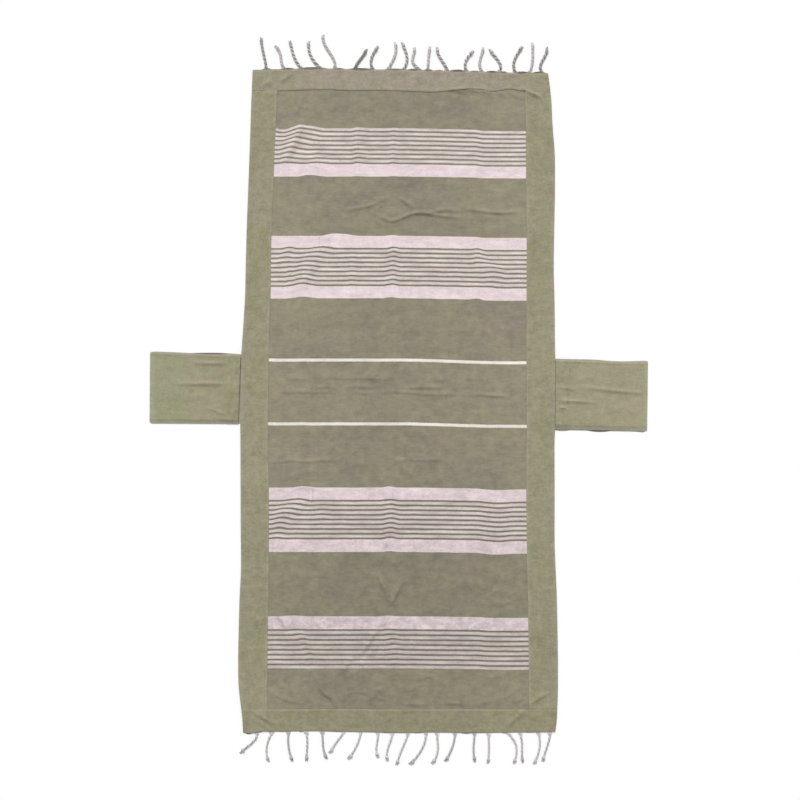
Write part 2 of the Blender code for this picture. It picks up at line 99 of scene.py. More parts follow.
def spacing(*bands):  # stations from bands of start, stop and number of cells
    marks = [bands[0][0]]
    for start, stop, cells in bands:
        marks += [start + (stop - start) * i / cells for i in range(1, cells + 1)]
    return np.array(marks)


class Amount:  # one number in a material, which takes part in sums
    def __init__(self, finish, socket):
        self.finish = finish
        self.socket = socket

    def maths(self, operation, first, second, clamped=False):
        settings = {"operation": operation, "use_clamp": clamped}
        return self.finish.node("ShaderNodeMath", settings, {0: first, 1: second})

    def __add__(self, other):
        return self.maths("ADD", self, other)

    def __radd__(self, other):
        return self.maths("ADD", other, self)

    def __sub__(self, other):
        return self.maths("SUBTRACT", self, other)

    def __rsub__(self, other):
        return self.maths("SUBTRACT", other, self)

    def __mul__(self, other):
        return self.maths("MULTIPLY", self, other)

    def __rmul__(self, other):
        return self.maths("MULTIPLY", other, self)

    def __truediv__(self, other):
        return self.maths("DIVIDE", self, other)

    def __abs__(self):
        return self.maths("ABSOLUTE", self, 0.0)

    def __gt__(self, other):
        return self.maths("GREATER_THAN", self, other)

    def sine(self):
        return self.maths("SINE", self, 0.0)

    def part(self):
        return self.maths("FRACT", self, 0.0)

    def clamped(self):
        return self.maths("ADD", self, 0.0, True)


class Finish:  # a material in the making
    def __init__(self, name, uvMap=None):
        self.material = bpy.data.materials.new(name)
        self.material.use_nodes = True
        self.tree = self.material.node_tree
        self.tree.nodes.clear()
        if uvMap:
            place = self.node("ShaderNodeUVMap", {"uv_map": uvMap})
        else:
            place = self.node("ShaderNodeTexCoord", output="Object")
        split = {0: place}
        self.u = self.node("ShaderNodeSeparateXYZ", None, split, "X")
        self.v = self.node("ShaderNodeSeparateXYZ", None, split, "Y")
        self.w = self.node("ShaderNodeSeparateXYZ", None, split, "Z")

    def node(self, kind, settings=None, values=None, output=0):
        made = self.tree.nodes.new(kind)
        for key, value in (settings or {}).items():
            setattr(made, key, value)
        for key, value in (values or {}).items():
            if isinstance(value, Amount):
                self.tree.links.new(value.socket, made.inputs[key])
            else:
                made.inputs[key].default_value = value
        return Amount(self, made.outputs[output]) if len(made.outputs) else None

    def noise(self, perU, perV, seed=0.0, detail=2.0, perW=0.0, rough=0.55):
        place = {"X": self.u * perU, "Y": self.v * perV, "Z": self.w * perW + seed}
        spot = self.node("ShaderNodeCombineXYZ", None, place)
        values = {"Vector": spot, "Scale": 1.0, "Detail": detail, "Roughness": rough}
        return self.node("ShaderNodeTexNoise", None, values)

    def patches(self, noise, gain, middle=0.5):  # a mask that is 1 where a noise is high
        return ((noise - 0.5) * gain + middle).clamped()

    def mixed(self, factor, first, second, blend="MIX"):
        settings = {"data_type": "RGBA", "blend_type": blend}
        return self.node("ShaderNodeMix", settings, {0: factor, 6: first, 7: second}, 2)

    def toned(self, colour, tone):  # a colour made lighter or darker
        shade = self.node("ShaderNodeCombineColor", None, {0: tone, 1: tone, 2: tone})
        return self.mixed(1.0, colour, shade, "MULTIPLY")

    def peak(self, value, place, reach):  # 1 at a place, down to 0 at its reach
        return (1 - abs(value - place) / reach).clamped()

    def between(self, value, low, high, soft):  # 1 inside a band, 0 outside it
        rising = ((value - low) / soft + 0.5).clamped()
        falling = ((high - value) / soft + 0.5).clamped()
        return rising * falling

    def weave(self, warpPitch, weftPitch):  # height of a plain weave, 0 to 1
        warp = self.u * (math.pi / warpPitch)
        weft = self.v * (math.pi / weftPitch)
        over = (warp.sine() * weft.sine()) > 0.0
        warpTop = abs((warp + math.pi / 2).sine())
        weftTop = abs((weft + math.pi / 2).sine())
        return over * (1 - warpTop) + (1 - over) * (1 - weftTop)

    def done(self, colour, roughness, height, depth, strength, sheen=0.15):
        bump = self.node("ShaderNodeBump", None,
                         {"Strength": strength, "Distance": depth, "Height": height})
        shader = self.node("ShaderNodeBsdfPrincipled", None, {
            "Base Color": colour,
            "Roughness": roughness,
            "Specular IOR Level": 0.2,
            "Sheen Weight": sheen,
            "Sheen Roughness": 0.6,
            "Normal": bump,
        })
        self.node("ShaderNodeOutputMaterial", None, {"Surface": shader})
        return self.material


# edges and strip seams: place along, left edge, right edge, left seam, right seam
sideMarks = [
    (-1.000, -0.4530, 0.4567, -0.3810, 0.3810),
    (-0.960, -0.4560, 0.4621, -0.3820, 0.3810),
    (-0.850, -0.4690, 0.4673, -0.3840, 0.3820),
    (-0.620, -0.4690, 0.4672, -0.3845, 0.3820),
    (-0.530, -0.4660, 0.4647, -0.3837, 0.3807),
    (-0.440, -0.4678, 0.4630, -0.3845, 0.3805),
    (-0.300, -0.4704, 0.4650, -0.3863, 0.3805),
    (-0.150, -0.4730, 0.4666, -0.3910, 0.3835),
    (-0.115, -0.4738, 0.4685, -0.3911, 0.3841),
    (0.000, -0.4743, 0.4713, -0.3911, 0.3848),
    (0.115, -0.4737, 0.4723, -0.3910, 0.3858),
    (0.150, -0.4720, 0.4722, -0.3910, 0.3860),
    (0.280, -0.4655, 0.4726, -0.3880, 0.3880),
    (0.370, -0.4645, 0.4715, -0.3878, 0.3892),
    (0.465, -0.4636, 0.4739, -0.3875, 0.3905),
    (0.715, -0.4580, 0.4800, -0.3815, 0.3910),
    (0.838, -0.4555, 0.4735, -0.3775, 0.3920),
    (0.905, -0.4542, 0.4714, -0.3760, 0.3910),
    (1.000, -0.4515, 0.4617, -0.3750, 0.3900),
]
# the same at the ends: place across, near edge, near seam
nearMarks = [
    (-0.460, -0.9975, -0.9330),
    (-0.430, -1.0010, -0.9335),
    (-0.400, -0.9960, -0.9335),
    (-0.360, -0.9960, -0.9335),
    (-0.240, -0.9950, -0.9330),
    (-0.120, -0.9970, -0.9330),
    (0.010, -1.0000, -0.9335),
    (0.100, -0.9985, -0.9335),
    (0.215, -1.0000, -0.9330),
    (0.330, -0.9985, -0.9335),
    (0.465, -0.9970, -0.9345),
]
# and place across, far edge, then place across and far seam, which is wavier
farEdgeMarks = [
    (-0.460, 1.0010), (-0.415, 1.0025), (-0.360, 1.0040), (-0.240, 1.0060), (-0.120, 1.0030),
    (0.010, 1.0025), (0.100, 1.0000), (0.215, 0.9970), (0.330, 0.9930), (0.465, 0.9905),
]
farSeamMarks = [
    (-0.460, 0.9350), (-0.345, 0.9348), (-0.290, 0.9372), (-0.215, 0.9382), (-0.160, 0.9355),
    (-0.080, 0.9358), (0.010, 0.9340), (0.100, 0.9305), (0.160, 0.9345), (0.230, 0.9400),
    (0.262, 0.9375), (0.288, 0.9320), (0.345, 0.9395), (0.375, 0.9345), (0.465, 0.9300),
]

sideLines = [curveThrough(*zip(*[(m[0], m[i]) for m in sideMarks])) for i in (1, 3, 4, 2)]
endLines = [
    curveThrough(*zip(*[(m[0], m[1]) for m in nearMarks])),
    curveThrough(*zip(*[(m[0], m[2]) for m in nearMarks])),
    curveThrough(*zip(*farSeamMarks)),
    curveThrough(*zip(*farEdgeMarks)),
]

towelSettings = {
    "flat": (0.94, 2.00),
    "halfWidth": 0.470,
    "sideSeam": 0.390,      # where the side strips' inner edges are sewn
    "halfLength": 1.000,
    "endSeam": 0.9335,
    "thickness": 0.0011,
    "stripThickness": 0.0008,
    "top": 0.0012,          # the cloth's face, above what it lies on
    "onCloth": 0.0024,      # a strip's face
    "overStrip": 0.0006,    # what an end strip rises over a side strip,
    "pressed": 0.0003,      # and how far it presses that strip down
    "seamLift": 0.0003,     # how far the centre cloth is drawn up at the side seams
    "seamReach": 0.012,
    "shoulder": 0.002,      # where an end strip's climb over a side strip ends and starts,
    "foot": 0.014,          # inside the seam
    "step": 0.004,          # over what length a side strip goes down under an end strip
    "hemRise": 0.0006,      # a turned edge is two layers thick as far as its turning reaches,
    "hemReach": 0.004,      # then slopes down,
    "hemSlope": 0.010,
    "edgeDrop": 0.0005,     # and is rounded at its very end
    "edgeReach": 0.0030,
    "ripple": 0.0010,
    "farInset": 0.0036,     # how far the far strip stops short of the raw end,
    "farInsetFrom": 0.96,   # and from where along it is drawn in
}
cloth = towelSettings

# stations across and along, closer where the cloth is creased or sewn
acrossMarks = spacing(
    (-0.4700, -0.4665, 2), (-0.4665, -0.3930, 14), (-0.3930, -0.3900, 1), (-0.3900, -0.3870, 1),
    (-0.3870, -0.2800, 19), (-0.2800, -0.0950, 27), (-0.0950, 0.0300, 22), (0.0300, 0.2700, 28),
    (0.2700, 0.3870, 19), (0.3870, 0.3900, 1), (0.3900, 0.3930, 1), (0.3930, 0.4665, 14),
    (0.4665, 0.4700, 2),
)
alongMarks = spacing(
    (-1.0000, -0.9965, 1), (-0.9965, -0.9365, 12), (-0.9365, -0.9335, 1), (-0.9335, -0.9305, 1),
    (-0.9305, -0.8250, 32), (-0.8250, -0.6900, 26), (-0.6900, -0.6550, 4), (-0.6550, -0.4950, 30),
    (-0.4950, -0.2800, 18), (-0.2800, -0.2250, 4), (-0.2250, -0.1950, 9), (-0.1950, -0.0330, 12),
    (-0.0330, 0.0450, 22), (0.0450, 0.2700, 16), (0.2700, 0.5050, 20), (0.5050, 0.6050, 28),
    (0.6050, 0.6450, 6), (0.6450, 0.8400, 18), (0.8400, 0.9305, 22), (0.9305, 0.9335, 1),
    (0.9335, 0.9365, 1), (0.9365, 0.9965, 12), (0.9965, 1.0000, 1),
)

# soft folds: two ends of the crest, half its foot, height, and the bow of its middle if it has one
foldMarks = [
    (-0.290, 0.850, -0.356, 0.695, 0.017, 0.0070, 0.004),
    (-0.256, 0.840, -0.247, 0.660, 0.012, 0.0025),
    (-0.128, 0.840, -0.126, 0.650, 0.010, 0.0022),
    (-0.018, 0.840, -0.017, 0.620, 0.010, 0.0018),
    (-0.250, 0.480, -0.160, 0.462, 0.015, 0.0034, 0.003),
    (-0.232, 0.445, -0.305, 0.295, 0.014, 0.0036, 0.002),
    (-0.344, 0.465, -0.328, 0.275, 0.012, 0.0026),
    (-0.017, 0.500, -0.017, 0.250, 0.011, 0.0026),
    (0.240, 0.500, 0.237, 0.230, 0.011, 0.0026),
    (-0.388, -0.392, -0.238, -0.320, 0.015, 0.0042, 0.006),
    (-0.025, -0.265, -0.025, -0.505, 0.011, 0.0026),
    (0.234, -0.265, 0.232, -0.505, 0.011, 0.0018),
    (-0.347, -0.662, -0.326, -0.706, 0.006, 0.0015),
    (-0.280, -0.715, -0.255, -0.868, 0.011, 0.0030, -0.003),
    (-0.120, -0.822, -0.058, -0.742, 0.009, 0.0026),
    (-0.022, -0.640, -0.022, -0.910, 0.010, 0.0022),
    (0.205, -0.880, 0.362, -0.812, 0.017, 0.0022, 0.005),
    (-0.364, 0.962, -0.320, 0.990, 0.008, 0.0024),
    (-0.428, 0.940, -0.385, 0.962, 0.010, 0.0022),
]

# the small sharp creases: height, and the line of the steep side. The gentle side is to the left
# of the line's way, which is the far side where it runs from left to right
creaseMarks = [
    (0.0044, [(-0.422, 0.9448), (-0.407, 0.9544), (-0.391, 0.9608)]),
    (0.0044, [(-0.360, 0.9592), (-0.345, 0.9752), (-0.327, 0.9880)]),
    (0.0044, [(0.150, 0.9336), (0.175, 0.9320), (0.199, 0.9273), (0.221, 0.9209)]),
    (0.0044, [(0.175, 0.9352), (0.206, 0.9368), (0.236, 0.9304), (0.261, 0.9209)]),
    (0.0037, [(0.246, 0.9368), (0.270, 0.9273), (0.283, 0.9145)]),
    (0.0026, [(0.301, 0.9304), (0.323, 0.9177), (0.341, 0.9081)]),
    (0.0027, [(0.329, 0.9304), (0.360, 0.9145), (0.378, 0.9017)]),
    (0.0056, [(0.376, 0.9400), (0.397, 0.9288), (0.419, 0.9177), (0.437, 0.9081), (0.446, 0.8922),
              (0.447, 0.8731)]),
    (0.0034, [(-0.313, 0.8540), (-0.298, 0.8986), (-0.286, 0.9241)]),
    (0.0034, [(-0.196, 0.8667), (-0.184, 0.9113)]),
    (0.0055, [(-0.090, 0.5486), (-0.066, 0.5393), (-0.041, 0.5252), (-0.020, 0.5190), (0.002, 0.5252),
              (0.026, 0.5361), (0.050, 0.5439), (0.075, 0.5455), (0.099, 0.5408), (0.124, 0.5361),
              (0.154, 0.5330), (0.185, 0.5299), (0.206, 0.5283)]),
    (0.0038, [(0.090, 0.5439), (0.121, 0.5517), (0.151, 0.5549), (0.173, 0.5517), (0.194, 0.5502)]),
    (0.0046, [(0.194, 0.5549), (0.219, 0.5549), (0.243, 0.5533), (0.267, 0.5486), (0.298, 0.5455),
              (0.329, 0.5455), (0.371, 0.5486)]),
    (0.0034, [(-0.179, 0.5517), (-0.142, 0.5549), (-0.118, 0.5611), (-0.093, 0.5658), (-0.069, 0.5736),
              (-0.044, 0.5861), (-0.026, 0.5955)]),
    (0.0056, [(-0.002, 0.5955), (0.017, 0.5798), (0.035, 0.5673), (0.044, 0.5580)]),
    (0.0023, [(-0.057, 0.5611), (-0.044, 0.5767)]),
    (0.0024, [(-0.286, 0.5673), (-0.261, 0.5486)]),
    (0.0018, [(0.193, 0.2731), (0.247, 0.2639), (0.323, 0.2547)]),
    (0.0017, [(-0.339, 0.0353), (-0.263, 0.0338)]),
    (0.0021, [(-0.230, 0.0383), (-0.191, 0.0383), (-0.146, 0.0368), (-0.101, 0.0383), (-0.077, 0.0368),
              (-0.041, 0.0338), (-0.002, 0.0353)]),
    (0.0017, [(0.080, 0.0323), (0.155, 0.0308)]),
    (0.0025, [(-0.260, 0.0081), (-0.221, 0.0096), (-0.182, 0.0066)]),
    (0.0025, [(-0.155, 0.0126), (-0.116, 0.0126), (-0.074, 0.0081)]),
    (0.0025, [(-0.002, 0.0066), (0.035, 0.0081), (0.080, 0.0096), (0.155, 0.0096)]),
    (0.0021, [(-0.356, -0.0040), (-0.296, -0.0040), (-0.236, -0.0040), (-0.185, -0.0040)]),
    (0.0022, [(-0.140, -0.0055), (-0.110, -0.0085), (-0.062, -0.0116)]),
    (0.0025, [(-0.056, -0.0040), (-0.011, -0.0025), (0.035, -0.0070), (0.080, -0.0116), (0.125, -0.0116),
              (0.170, -0.0131), (0.209, -0.0131)]),
    (0.0039, [(0.215, -0.0131), (0.245, -0.0131), (0.275, -0.0161), (0.305, -0.0176), (0.335, -0.0206)]),
    (0.0018, [(0.276, 0.0777), (0.321, 0.0656), (0.366, 0.0656)]),
    (0.0025, [(-0.390, -0.2156), (-0.354, -0.2141), (-0.324, -0.2096), (-0.294, -0.2126), (-0.258, -0.2141),
              (-0.235, -0.2096), (-0.190, -0.2096), (-0.160, -0.2096)]),
    (0.0021, [(-0.019, -0.2111), (0.010, -0.2111), (0.034, -0.2082), (0.079, -0.2096), (0.115, -0.2082),
              (0.145, -0.2096)]),
    (0.0024, [(0.064, -0.1214), (0.079, -0.1454), (0.100, -0.1484)]),
    (0.0017, [(0.130, -0.1244), (0.169, -0.1214)]),
    (0.0022, [(0.313, -0.1723), (0.328, -0.1813)]),
    (0.0088, [(-0.070, -0.5420), (-0.058, -0.5595), (-0.046, -0.5828), (-0.037, -0.6033),
              (-0.028, -0.6295)]),
    (0.0072, [(-0.019, -0.6382), (-0.007, -0.6091), (0.004, -0.5858), (0.019, -0.5653)]),
    (0.0028, [(-0.031, -0.5010), (-0.010, -0.5185), (0.004, -0.5361)]),
    (0.0018, [(0.019, -0.5244), (0.031, -0.5185)]),
    (0.0021, [(0.004, -0.5712), (0.028, -0.5697), (0.052, -0.5712)]),
    (0.0023, [(0.255, -0.6178), (0.279, -0.6003), (0.300, -0.5916)]),
    (0.0025, [(0.264, -0.6295), (0.299, -0.6353), (0.329, -0.6295), (0.353, -0.6120)]),
    (0.0021, [(0.236, -0.4892), (0.286, -0.4951), (0.345, -0.4922)]),
    (0.0070, [(-0.062, -0.7006), (-0.081, -0.7223), (-0.093, -0.7425), (-0.107, -0.7627),
              (-0.119, -0.7800)]),
    (0.0052, [(-0.169, -0.8347), (-0.153, -0.8175), (-0.138, -0.7959), (-0.128, -0.7771)]),
    (0.0070, [(-0.361, -0.6600), (-0.349, -0.6759), (-0.339, -0.6904), (-0.331, -0.7049)]),
    (0.0050, [(-0.281, -0.7136), (-0.274, -0.7425), (-0.263, -0.7685), (-0.248, -0.7915)]),
    (0.0070, [(-0.248, -0.8376), (-0.236, -0.8605), (-0.230, -0.8777), (-0.218, -0.8921), (-0.200, -0.9035),
              (-0.189, -0.9178), (-0.180, -0.9292)]),
    (0.0032, [(-0.277, -0.8491), (-0.262, -0.8577)]),
    (0.0029, [(-0.356, -0.8519), (-0.344, -0.8720), (-0.324, -0.8749)]),
    (0.0024, [(-0.376, -0.8777), (-0.359, -0.8978), (-0.332, -0.9092), (-0.303, -0.9178),
              (-0.273, -0.9207)]),
    (0.0030, [(-0.145, -0.8462), (-0.128, -0.8318), (-0.119, -0.8232)]),
    (0.0027, [(-0.078, -0.9092), (-0.060, -0.8892)]),
    (0.0034, [(-0.060, -0.9006), (-0.048, -0.9121)]),
    (0.0022, [(-0.136, -0.8835), (-0.107, -0.8892), (-0.078, -0.8949)]),
    (0.0021, [(-0.075, -0.8863), (-0.040, -0.8777)]),
    (0.0021, [(0.013, -0.8806), (0.034, -0.8835), (0.057, -0.8720), (0.078, -0.8663)]),
    (0.0023, [(0.063, -0.8491), (0.092, -0.8433), (0.122, -0.8605), (0.151, -0.8720)]),
    (0.0025, [(0.019, -0.9207), (0.048, -0.9235), (0.078, -0.9221), (0.098, -0.9235)]),
    (0.0025, [(0.121, -0.9249), (0.142, -0.9192), (0.165, -0.9192), (0.189, -0.9235), (0.215, -0.9292)]),
    (0.0019, [(0.151, -0.8978), (0.180, -0.9092), (0.203, -0.9178)]),
    (0.0021, [(0.224, -0.9292), (0.253, -0.9178), (0.282, -0.9121)]),
    (0.0024, [(0.312, -0.9064), (0.332, -0.8949), (0.350, -0.8777), (0.368, -0.8663)]),
    (0.0021, [(0.344, -0.9149), (0.367, -0.9064)]),
    (0.0022, [(0.333, -0.8491), (0.350, -0.8376), (0.365, -0.8318)]),
    (0.0048, [(0.385, -0.9235), (0.405, -0.9092), (0.423, -0.8978), (0.441, -0.8863)]),
    (0.0044, [(0.320, -0.9862), (0.337, -0.9692), (0.355, -0.9521), (0.376, -0.9321)]),
    (0.0017, [(0.379, -0.9292), (0.414, -0.9335), (0.449, -0.9349)]),
    (0.0023, [(0.297, -0.9635), (0.331, -0.9749)]),
    (0.0060, [(-0.425, -0.9435), (-0.411, -0.9521), (-0.393, -0.9635), (-0.375, -0.9720),
              (-0.363, -0.9834)]),
    (0.0034, [(-0.366, -0.9914), (-0.393, -0.9720), (-0.410, -0.9606), (-0.428, -0.9521)]),
]
creaseSettings = {"steep": 0.0030, "soft": 0.012}

# where the towel lies on a pocket's under layer: outward side, inner end, near and far side
tabMarks = [(-1.0, -0.4552, -0.1023, 0.1177), (1.0, 0.4493, -0.1190, 0.1050)]
tabSettings = {"lift": 0.0013, "ramp": 0.025}


def stretched(place, seam, edge, lines):  # where a flat place lies, if its edges and seams lie on lines
    knots = (-edge, -seam, seam, edge)
    shares = [(place - knots[i]) / (knots[i + 1] - knots[i]) for i in range(3)]
    spots = [lines[i] + (lines[i + 1] - lines[i]) * shares[i] for i in range(3)]
    return np.where(place > seam, spots[2], np.where(place > -seam, spots[1], spots[0]))


def mapAcross(u, y):
    return stretched(u, cloth["sideSeam"], cloth["halfWidth"], [line(y) for line in sideLines])


def mapAlong(v, x):
    return stretched(v, cloth["endSeam"], cloth["halfLength"], [line(x) for line in endLines])


def rippleAt(x, y):  # the cloth is nowhere quite flat
    rough = roughAt(x, y, 9, 14, 3) + 0.5 * roughAt(x, y, 31, 40, 8)
    return cloth["ripple"] * (0.5 + 0.5 * np.clip(rough, -1, 1))


def creaseAt(x, y):
    shape = np.shape(x)
    x, y = np.ravel(x), np.ravel(y)
    height = np.zeros(len(x))
    steep, soft = creaseSettings["steep"], creaseSettings["soft"]
    for rise, line in creaseMarks:
        marks = np.array(line)
        low, high = marks.min(axis=0) - steep - soft, marks.max(axis=0) + steep + soft
        spots = np.flatnonzero((x > low[0]) & (x < high[0]) & (y > low[1]) & (y < high[1]))
        a, b = x[spots], y[spots]
        steps = np.diff(marks, axis=0)
        lengths = np.hypot(steps[:, 0], steps[:, 1])
        nearest, aside, along = np.full(len(a), np.inf), np.zeros(len(a)), np.zeros(len(a))
        for i, (dx, dy) in enumerate(steps):
            fromStart = np.array((a - marks[i, 0], b - marks[i, 1]))
            t = np.clip((fromStart[0] * dx + fromStart[1] * dy) / lengths[i] ** 2, 0.0, 1.0)
            gap = np.hypot(fromStart[0] - dx * t, fromStart[1] - dy * t)
            side = np.sign(dx * fromStart[1] - dy * fromStart[0])
            closer = gap < nearest
            aside = np.where(closer, side * gap, aside)
            along = np.where(closer, (lengths[:i].sum() + t * lengths[i]) / lengths.sum(), along)
            nearest = np.minimum(nearest, gap)
        cut = ease((aside + steep) / (2 * steep)) * (1 - ease((aside - steep) / soft))
        height[spots] += rise * np.sin(math.pi * along) ** 0.6 * cut
    return height.reshape(shape)


def lieAt(x, y):  # how high the towel's underside is
    height = rippleAt(x, y) + creaseAt(x, y)
    for marks in foldMarks:
        height = height + ridgeAt(x, y, *marks)
    for outwards, inner, low, high in tabMarks:
        short = np.maximum(np.maximum(outwards * (inner - x), low - y), np.maximum(y - high, 0.0))
        height = height + tabSettings["lift"] * np.clip(1.0 - short / tabSettings["ramp"], 0.0, 1.0)
    return height


# pulls that bend the woven stripes, each from its far to its near end: place across
# and along, reach to the left and to the right, and how far the stripes shift up
pullMarks = [
    [(-0.297, 0.835, 0.045, 0.084, 0.0102), (-0.303, 0.803, 0.042, 0.081, 0.0105),
     (-0.322, 0.778, 0.036, 0.081, 0.0099), (-0.334, 0.762, 0.033, 0.075, 0.0078),
     (-0.340, 0.743, 0.030, 0.066, 0.0057), (-0.346, 0.724, 0.027, 0.060, 0.0042),
     (-0.345, 0.699, 0.027, 0.060, 0.0021)],
    [(-0.353, 0.829, 0.024, 0.027, -0.0039), (-0.359, 0.797, 0.024, 0.027, -0.0024)],
    [(-0.241, 0.734, 0.039, 0.048, 0.0015), (-0.250, 0.709, 0.036, 0.051, 0.0030),
     (-0.272, 0.680, 0.036, 0.051, 0.0045), (-0.274, 0.658, 0.036, 0.054, 0.0054)],
    [(-0.125, 0.829, 0.024, 0.045, 0.0033), (-0.125, 0.759, 0.021, 0.036, 0.0015),
     (-0.124, 0.724, 0.024, 0.042, 0.0036), (-0.127, 0.658, 0.021, 0.024, 0.0009)],
    [(-0.014, 0.829, 0.018, 0.018, 0.0009), (-0.017, 0.658, 0.021, 0.021, 0.0015)],
    [(-0.194, 0.483, 0.042, 0.090, 0.0078), (-0.200, 0.461, 0.042, 0.078, 0.0054)],
    [(-0.230, 0.446, 0.042, 0.054, 0.0060), (-0.251, 0.427, 0.042, 0.054, 0.0045),
     (-0.266, 0.412, 0.039, 0.054, 0.0042), (-0.278, 0.396, 0.036, 0.054, 0.0048),
     (-0.284, 0.381, 0.036, 0.054, 0.0051), (-0.290, 0.365, 0.036, 0.054, 0.0057),
     (-0.293, 0.350, 0.033, 0.054, 0.0066), (-0.296, 0.322, 0.033, 0.054, 0.0060),
     (-0.293, 0.282, 0.036, 0.054, 0.0048)],
    [(-0.331, 0.443, 0.024, 0.027, 0.0045), (-0.349, 0.406, 0.024, 0.027, 0.0030),
     (-0.348, 0.384, 0.024, 0.027, 0.0015)],
    [(-0.142, 0.418, 0.018, 0.024, 0.0012), (-0.141, 0.328, 0.021, 0.024, 0.0018)],
    [(-0.020, 0.483, 0.024, 0.024, 0.0030), (-0.014, 0.434, 0.024, 0.024, 0.0039),
     (-0.017, 0.396, 0.030, 0.024, 0.0042), (-0.017, 0.341, 0.030, 0.024, 0.0036),
     (-0.023, 0.279, 0.027, 0.027, 0.0030)],
    [(0.242, 0.446, 0.024, 0.021, 0.0024), (0.245, 0.415, 0.030, 0.027, 0.0042),
     (0.260, 0.393, 0.042, 0.039, 0.0054), (0.284, 0.372, 0.054, 0.048, 0.0060),
     (0.290, 0.350, 0.054, 0.042, 0.0042), (0.278, 0.328, 0.045, 0.042, 0.0030),
     (0.259, 0.304, 0.036, 0.036, 0.0030), (0.238, 0.279, 0.027, 0.027, 0.0036)],
    [(-0.279, -0.280, 0.042, 0.042, 0.0039), (-0.299, -0.324, 0.048, 0.042, 0.0054),
     (-0.317, -0.338, 0.048, 0.054, 0.0054), (-0.335, -0.352, 0.042, 0.054, 0.0063),
     (-0.341, -0.366, 0.036, 0.060, 0.0063), (-0.352, -0.380, 0.030, 0.048, 0.0060),
     (-0.352, -0.394, 0.027, 0.036, 0.0054), (-0.355, -0.408, 0.027, 0.030, 0.0036),
     (-0.361, -0.439, 0.024, 0.027, 0.0021)],
    [(-0.225, -0.333, 0.036, 0.042, 0.0015), (-0.228, -0.366, 0.030, 0.036, 0.0024),
     (-0.227, -0.389, 0.030, 0.030, 0.0006)],
    [(-0.028, -0.283, 0.024, 0.021, 0.0039), (-0.025, -0.324, 0.030, 0.027, 0.0030),
     (-0.022, -0.354, 0.033, 0.030, 0.0045), (-0.022, -0.383, 0.030, 0.027, 0.0048),
     (-0.025, -0.428, 0.027, 0.027, 0.0042), (-0.028, -0.480, 0.027, 0.030, 0.0024)],
    [(0.303, -0.283, 0.054, 0.042, -0.0021), (0.302, -0.383, 0.060, 0.039, -0.0027),
     (0.292, -0.480, 0.054, 0.042, -0.0039)],
    [(-0.314, -0.661, 0.042, 0.042, 0.0024), (-0.296, -0.705, 0.036, 0.030, 0.0012),
     (-0.287, -0.719, 0.030, 0.024, 0.0027), (-0.278, -0.734, 0.021, 0.021, 0.0036),
     (-0.275, -0.748, 0.021, 0.021, 0.0018), (-0.263, -0.774, 0.018, 0.021, 0.0024),
     (-0.257, -0.794, 0.018, 0.018, 0.0009)],
    [(-0.031, -0.664, 0.024, 0.024, 0.0021), (-0.028, -0.705, 0.027, 0.027, 0.0015),
     (-0.022, -0.719, 0.030, 0.030, 0.0027), (-0.016, -0.734, 0.027, 0.030, 0.0033),
     (-0.013, -0.754, 0.027, 0.036, 0.0018), (-0.013, -0.777, 0.030, 0.042, 0.0018),
     (-0.010, -0.797, 0.024, 0.030, 0.0006)],
]
# the weave's own wander: place along, shift up, and the fall at the right edge
weaveMarks = [
    (-1.00, 0.0000, 0.0040), (-0.76, -0.0009, 0.0044), (-0.67, -0.0003, 0.0046), (-0.48, 0.0012, 0.0050),
    (-0.43, 0.0009, 0.0050), (-0.38, 0.0000, 0.0052), (-0.33, -0.0009, 0.0056), (-0.28, -0.0018, 0.0062),
    (-0.096, -0.0015, 0.0075), (0.10, 0.0000, 0.0084), (0.28, -0.0012, 0.0076), (0.38, -0.0009, 0.0070),
    (0.48, -0.0015, 0.0064), (0.66, -0.0027, 0.0055), (0.70, -0.0008, 0.0075), (0.80, 0.0000, 0.0090),
    (1.00, 0.0000, 0.0095),
]


weaveSettings = {
    "fallReach": 0.33,       # from the middle, how far the stripes take to fall at the right
    "stepShare": 0.35,       # away from the pockets this much of the fall is one quick step:
    "stepFrom": 0.15,        # from how far along, and over what length it sets in,
    "stepSlope": 0.08,
    "stepAt": 0.232,         # and where across it starts and how wide it is
    "stepWidth": 0.030,
    "leftDip": 0.003,        # the stripes dip at the left, above the pocket
    "leftDipAt": (-0.325, 0.365),
    "leftDipReach": (0.02, 0.115),
    "pullFade": 0.016,       # how far a pull runs on past its last mark
    "wander": 0.0005,
}


def pullAt(x, y):  # how far the woven stripes are shifted up
    own = weaveSettings
    places, shifts, falls = zip(*weaveMarks)
    step = own["stepShare"] * ease((np.abs(y) - own["stepFrom"]) / own["stepSlope"])
    slow = ease(x / own["fallReach"])
    quick = ease((x - own["stepAt"]) / own["stepWidth"])
    shift = np.interp(y, places, shifts) - np.interp(y, places, falls) * ((1 - step) * slow + step * quick)
    dipX, dipY = own["leftDipAt"]
    reachX, reachY = own["leftDipReach"]
    shift = shift - own["leftDip"] * ease((dipX - x) / reachX) * bell((y - dipY) / reachY)
    for marks in pullMarks:
        centres, alongs, lefts, rights, rises = np.array(marks[::-1]).T
        aside = x - np.interp(y, alongs, centres)
        reach = np.where(aside < 0, np.interp(y, alongs, lefts), np.interp(y, alongs, rights))
        past = np.maximum(np.maximum(alongs[0] - y, y - alongs[-1]), 0.0)
        fade = 1 - ease(past / own["pullFade"])
        shift = shift + np.interp(y, alongs, rises) * bell(aside / reach) * fade
    return shift + own["wander"] * roughAt(x, y, 26, 6, 5)


def clothPlace(u, v):  # where a place on the flat cloth lies, seen from above
    x = mapAcross(u, v)
    y = mapAlong(v, x)
    return mapAcross(u, y), y


def overStripAt(u):  # 1 where an end strip lies over a side strip
    inside = cloth["sideSeam"] - np.abs(u)
    return np.clip((cloth["foot"] - inside) / (cloth["foot"] - cloth["shoulder"]), 0.0, 1.0)


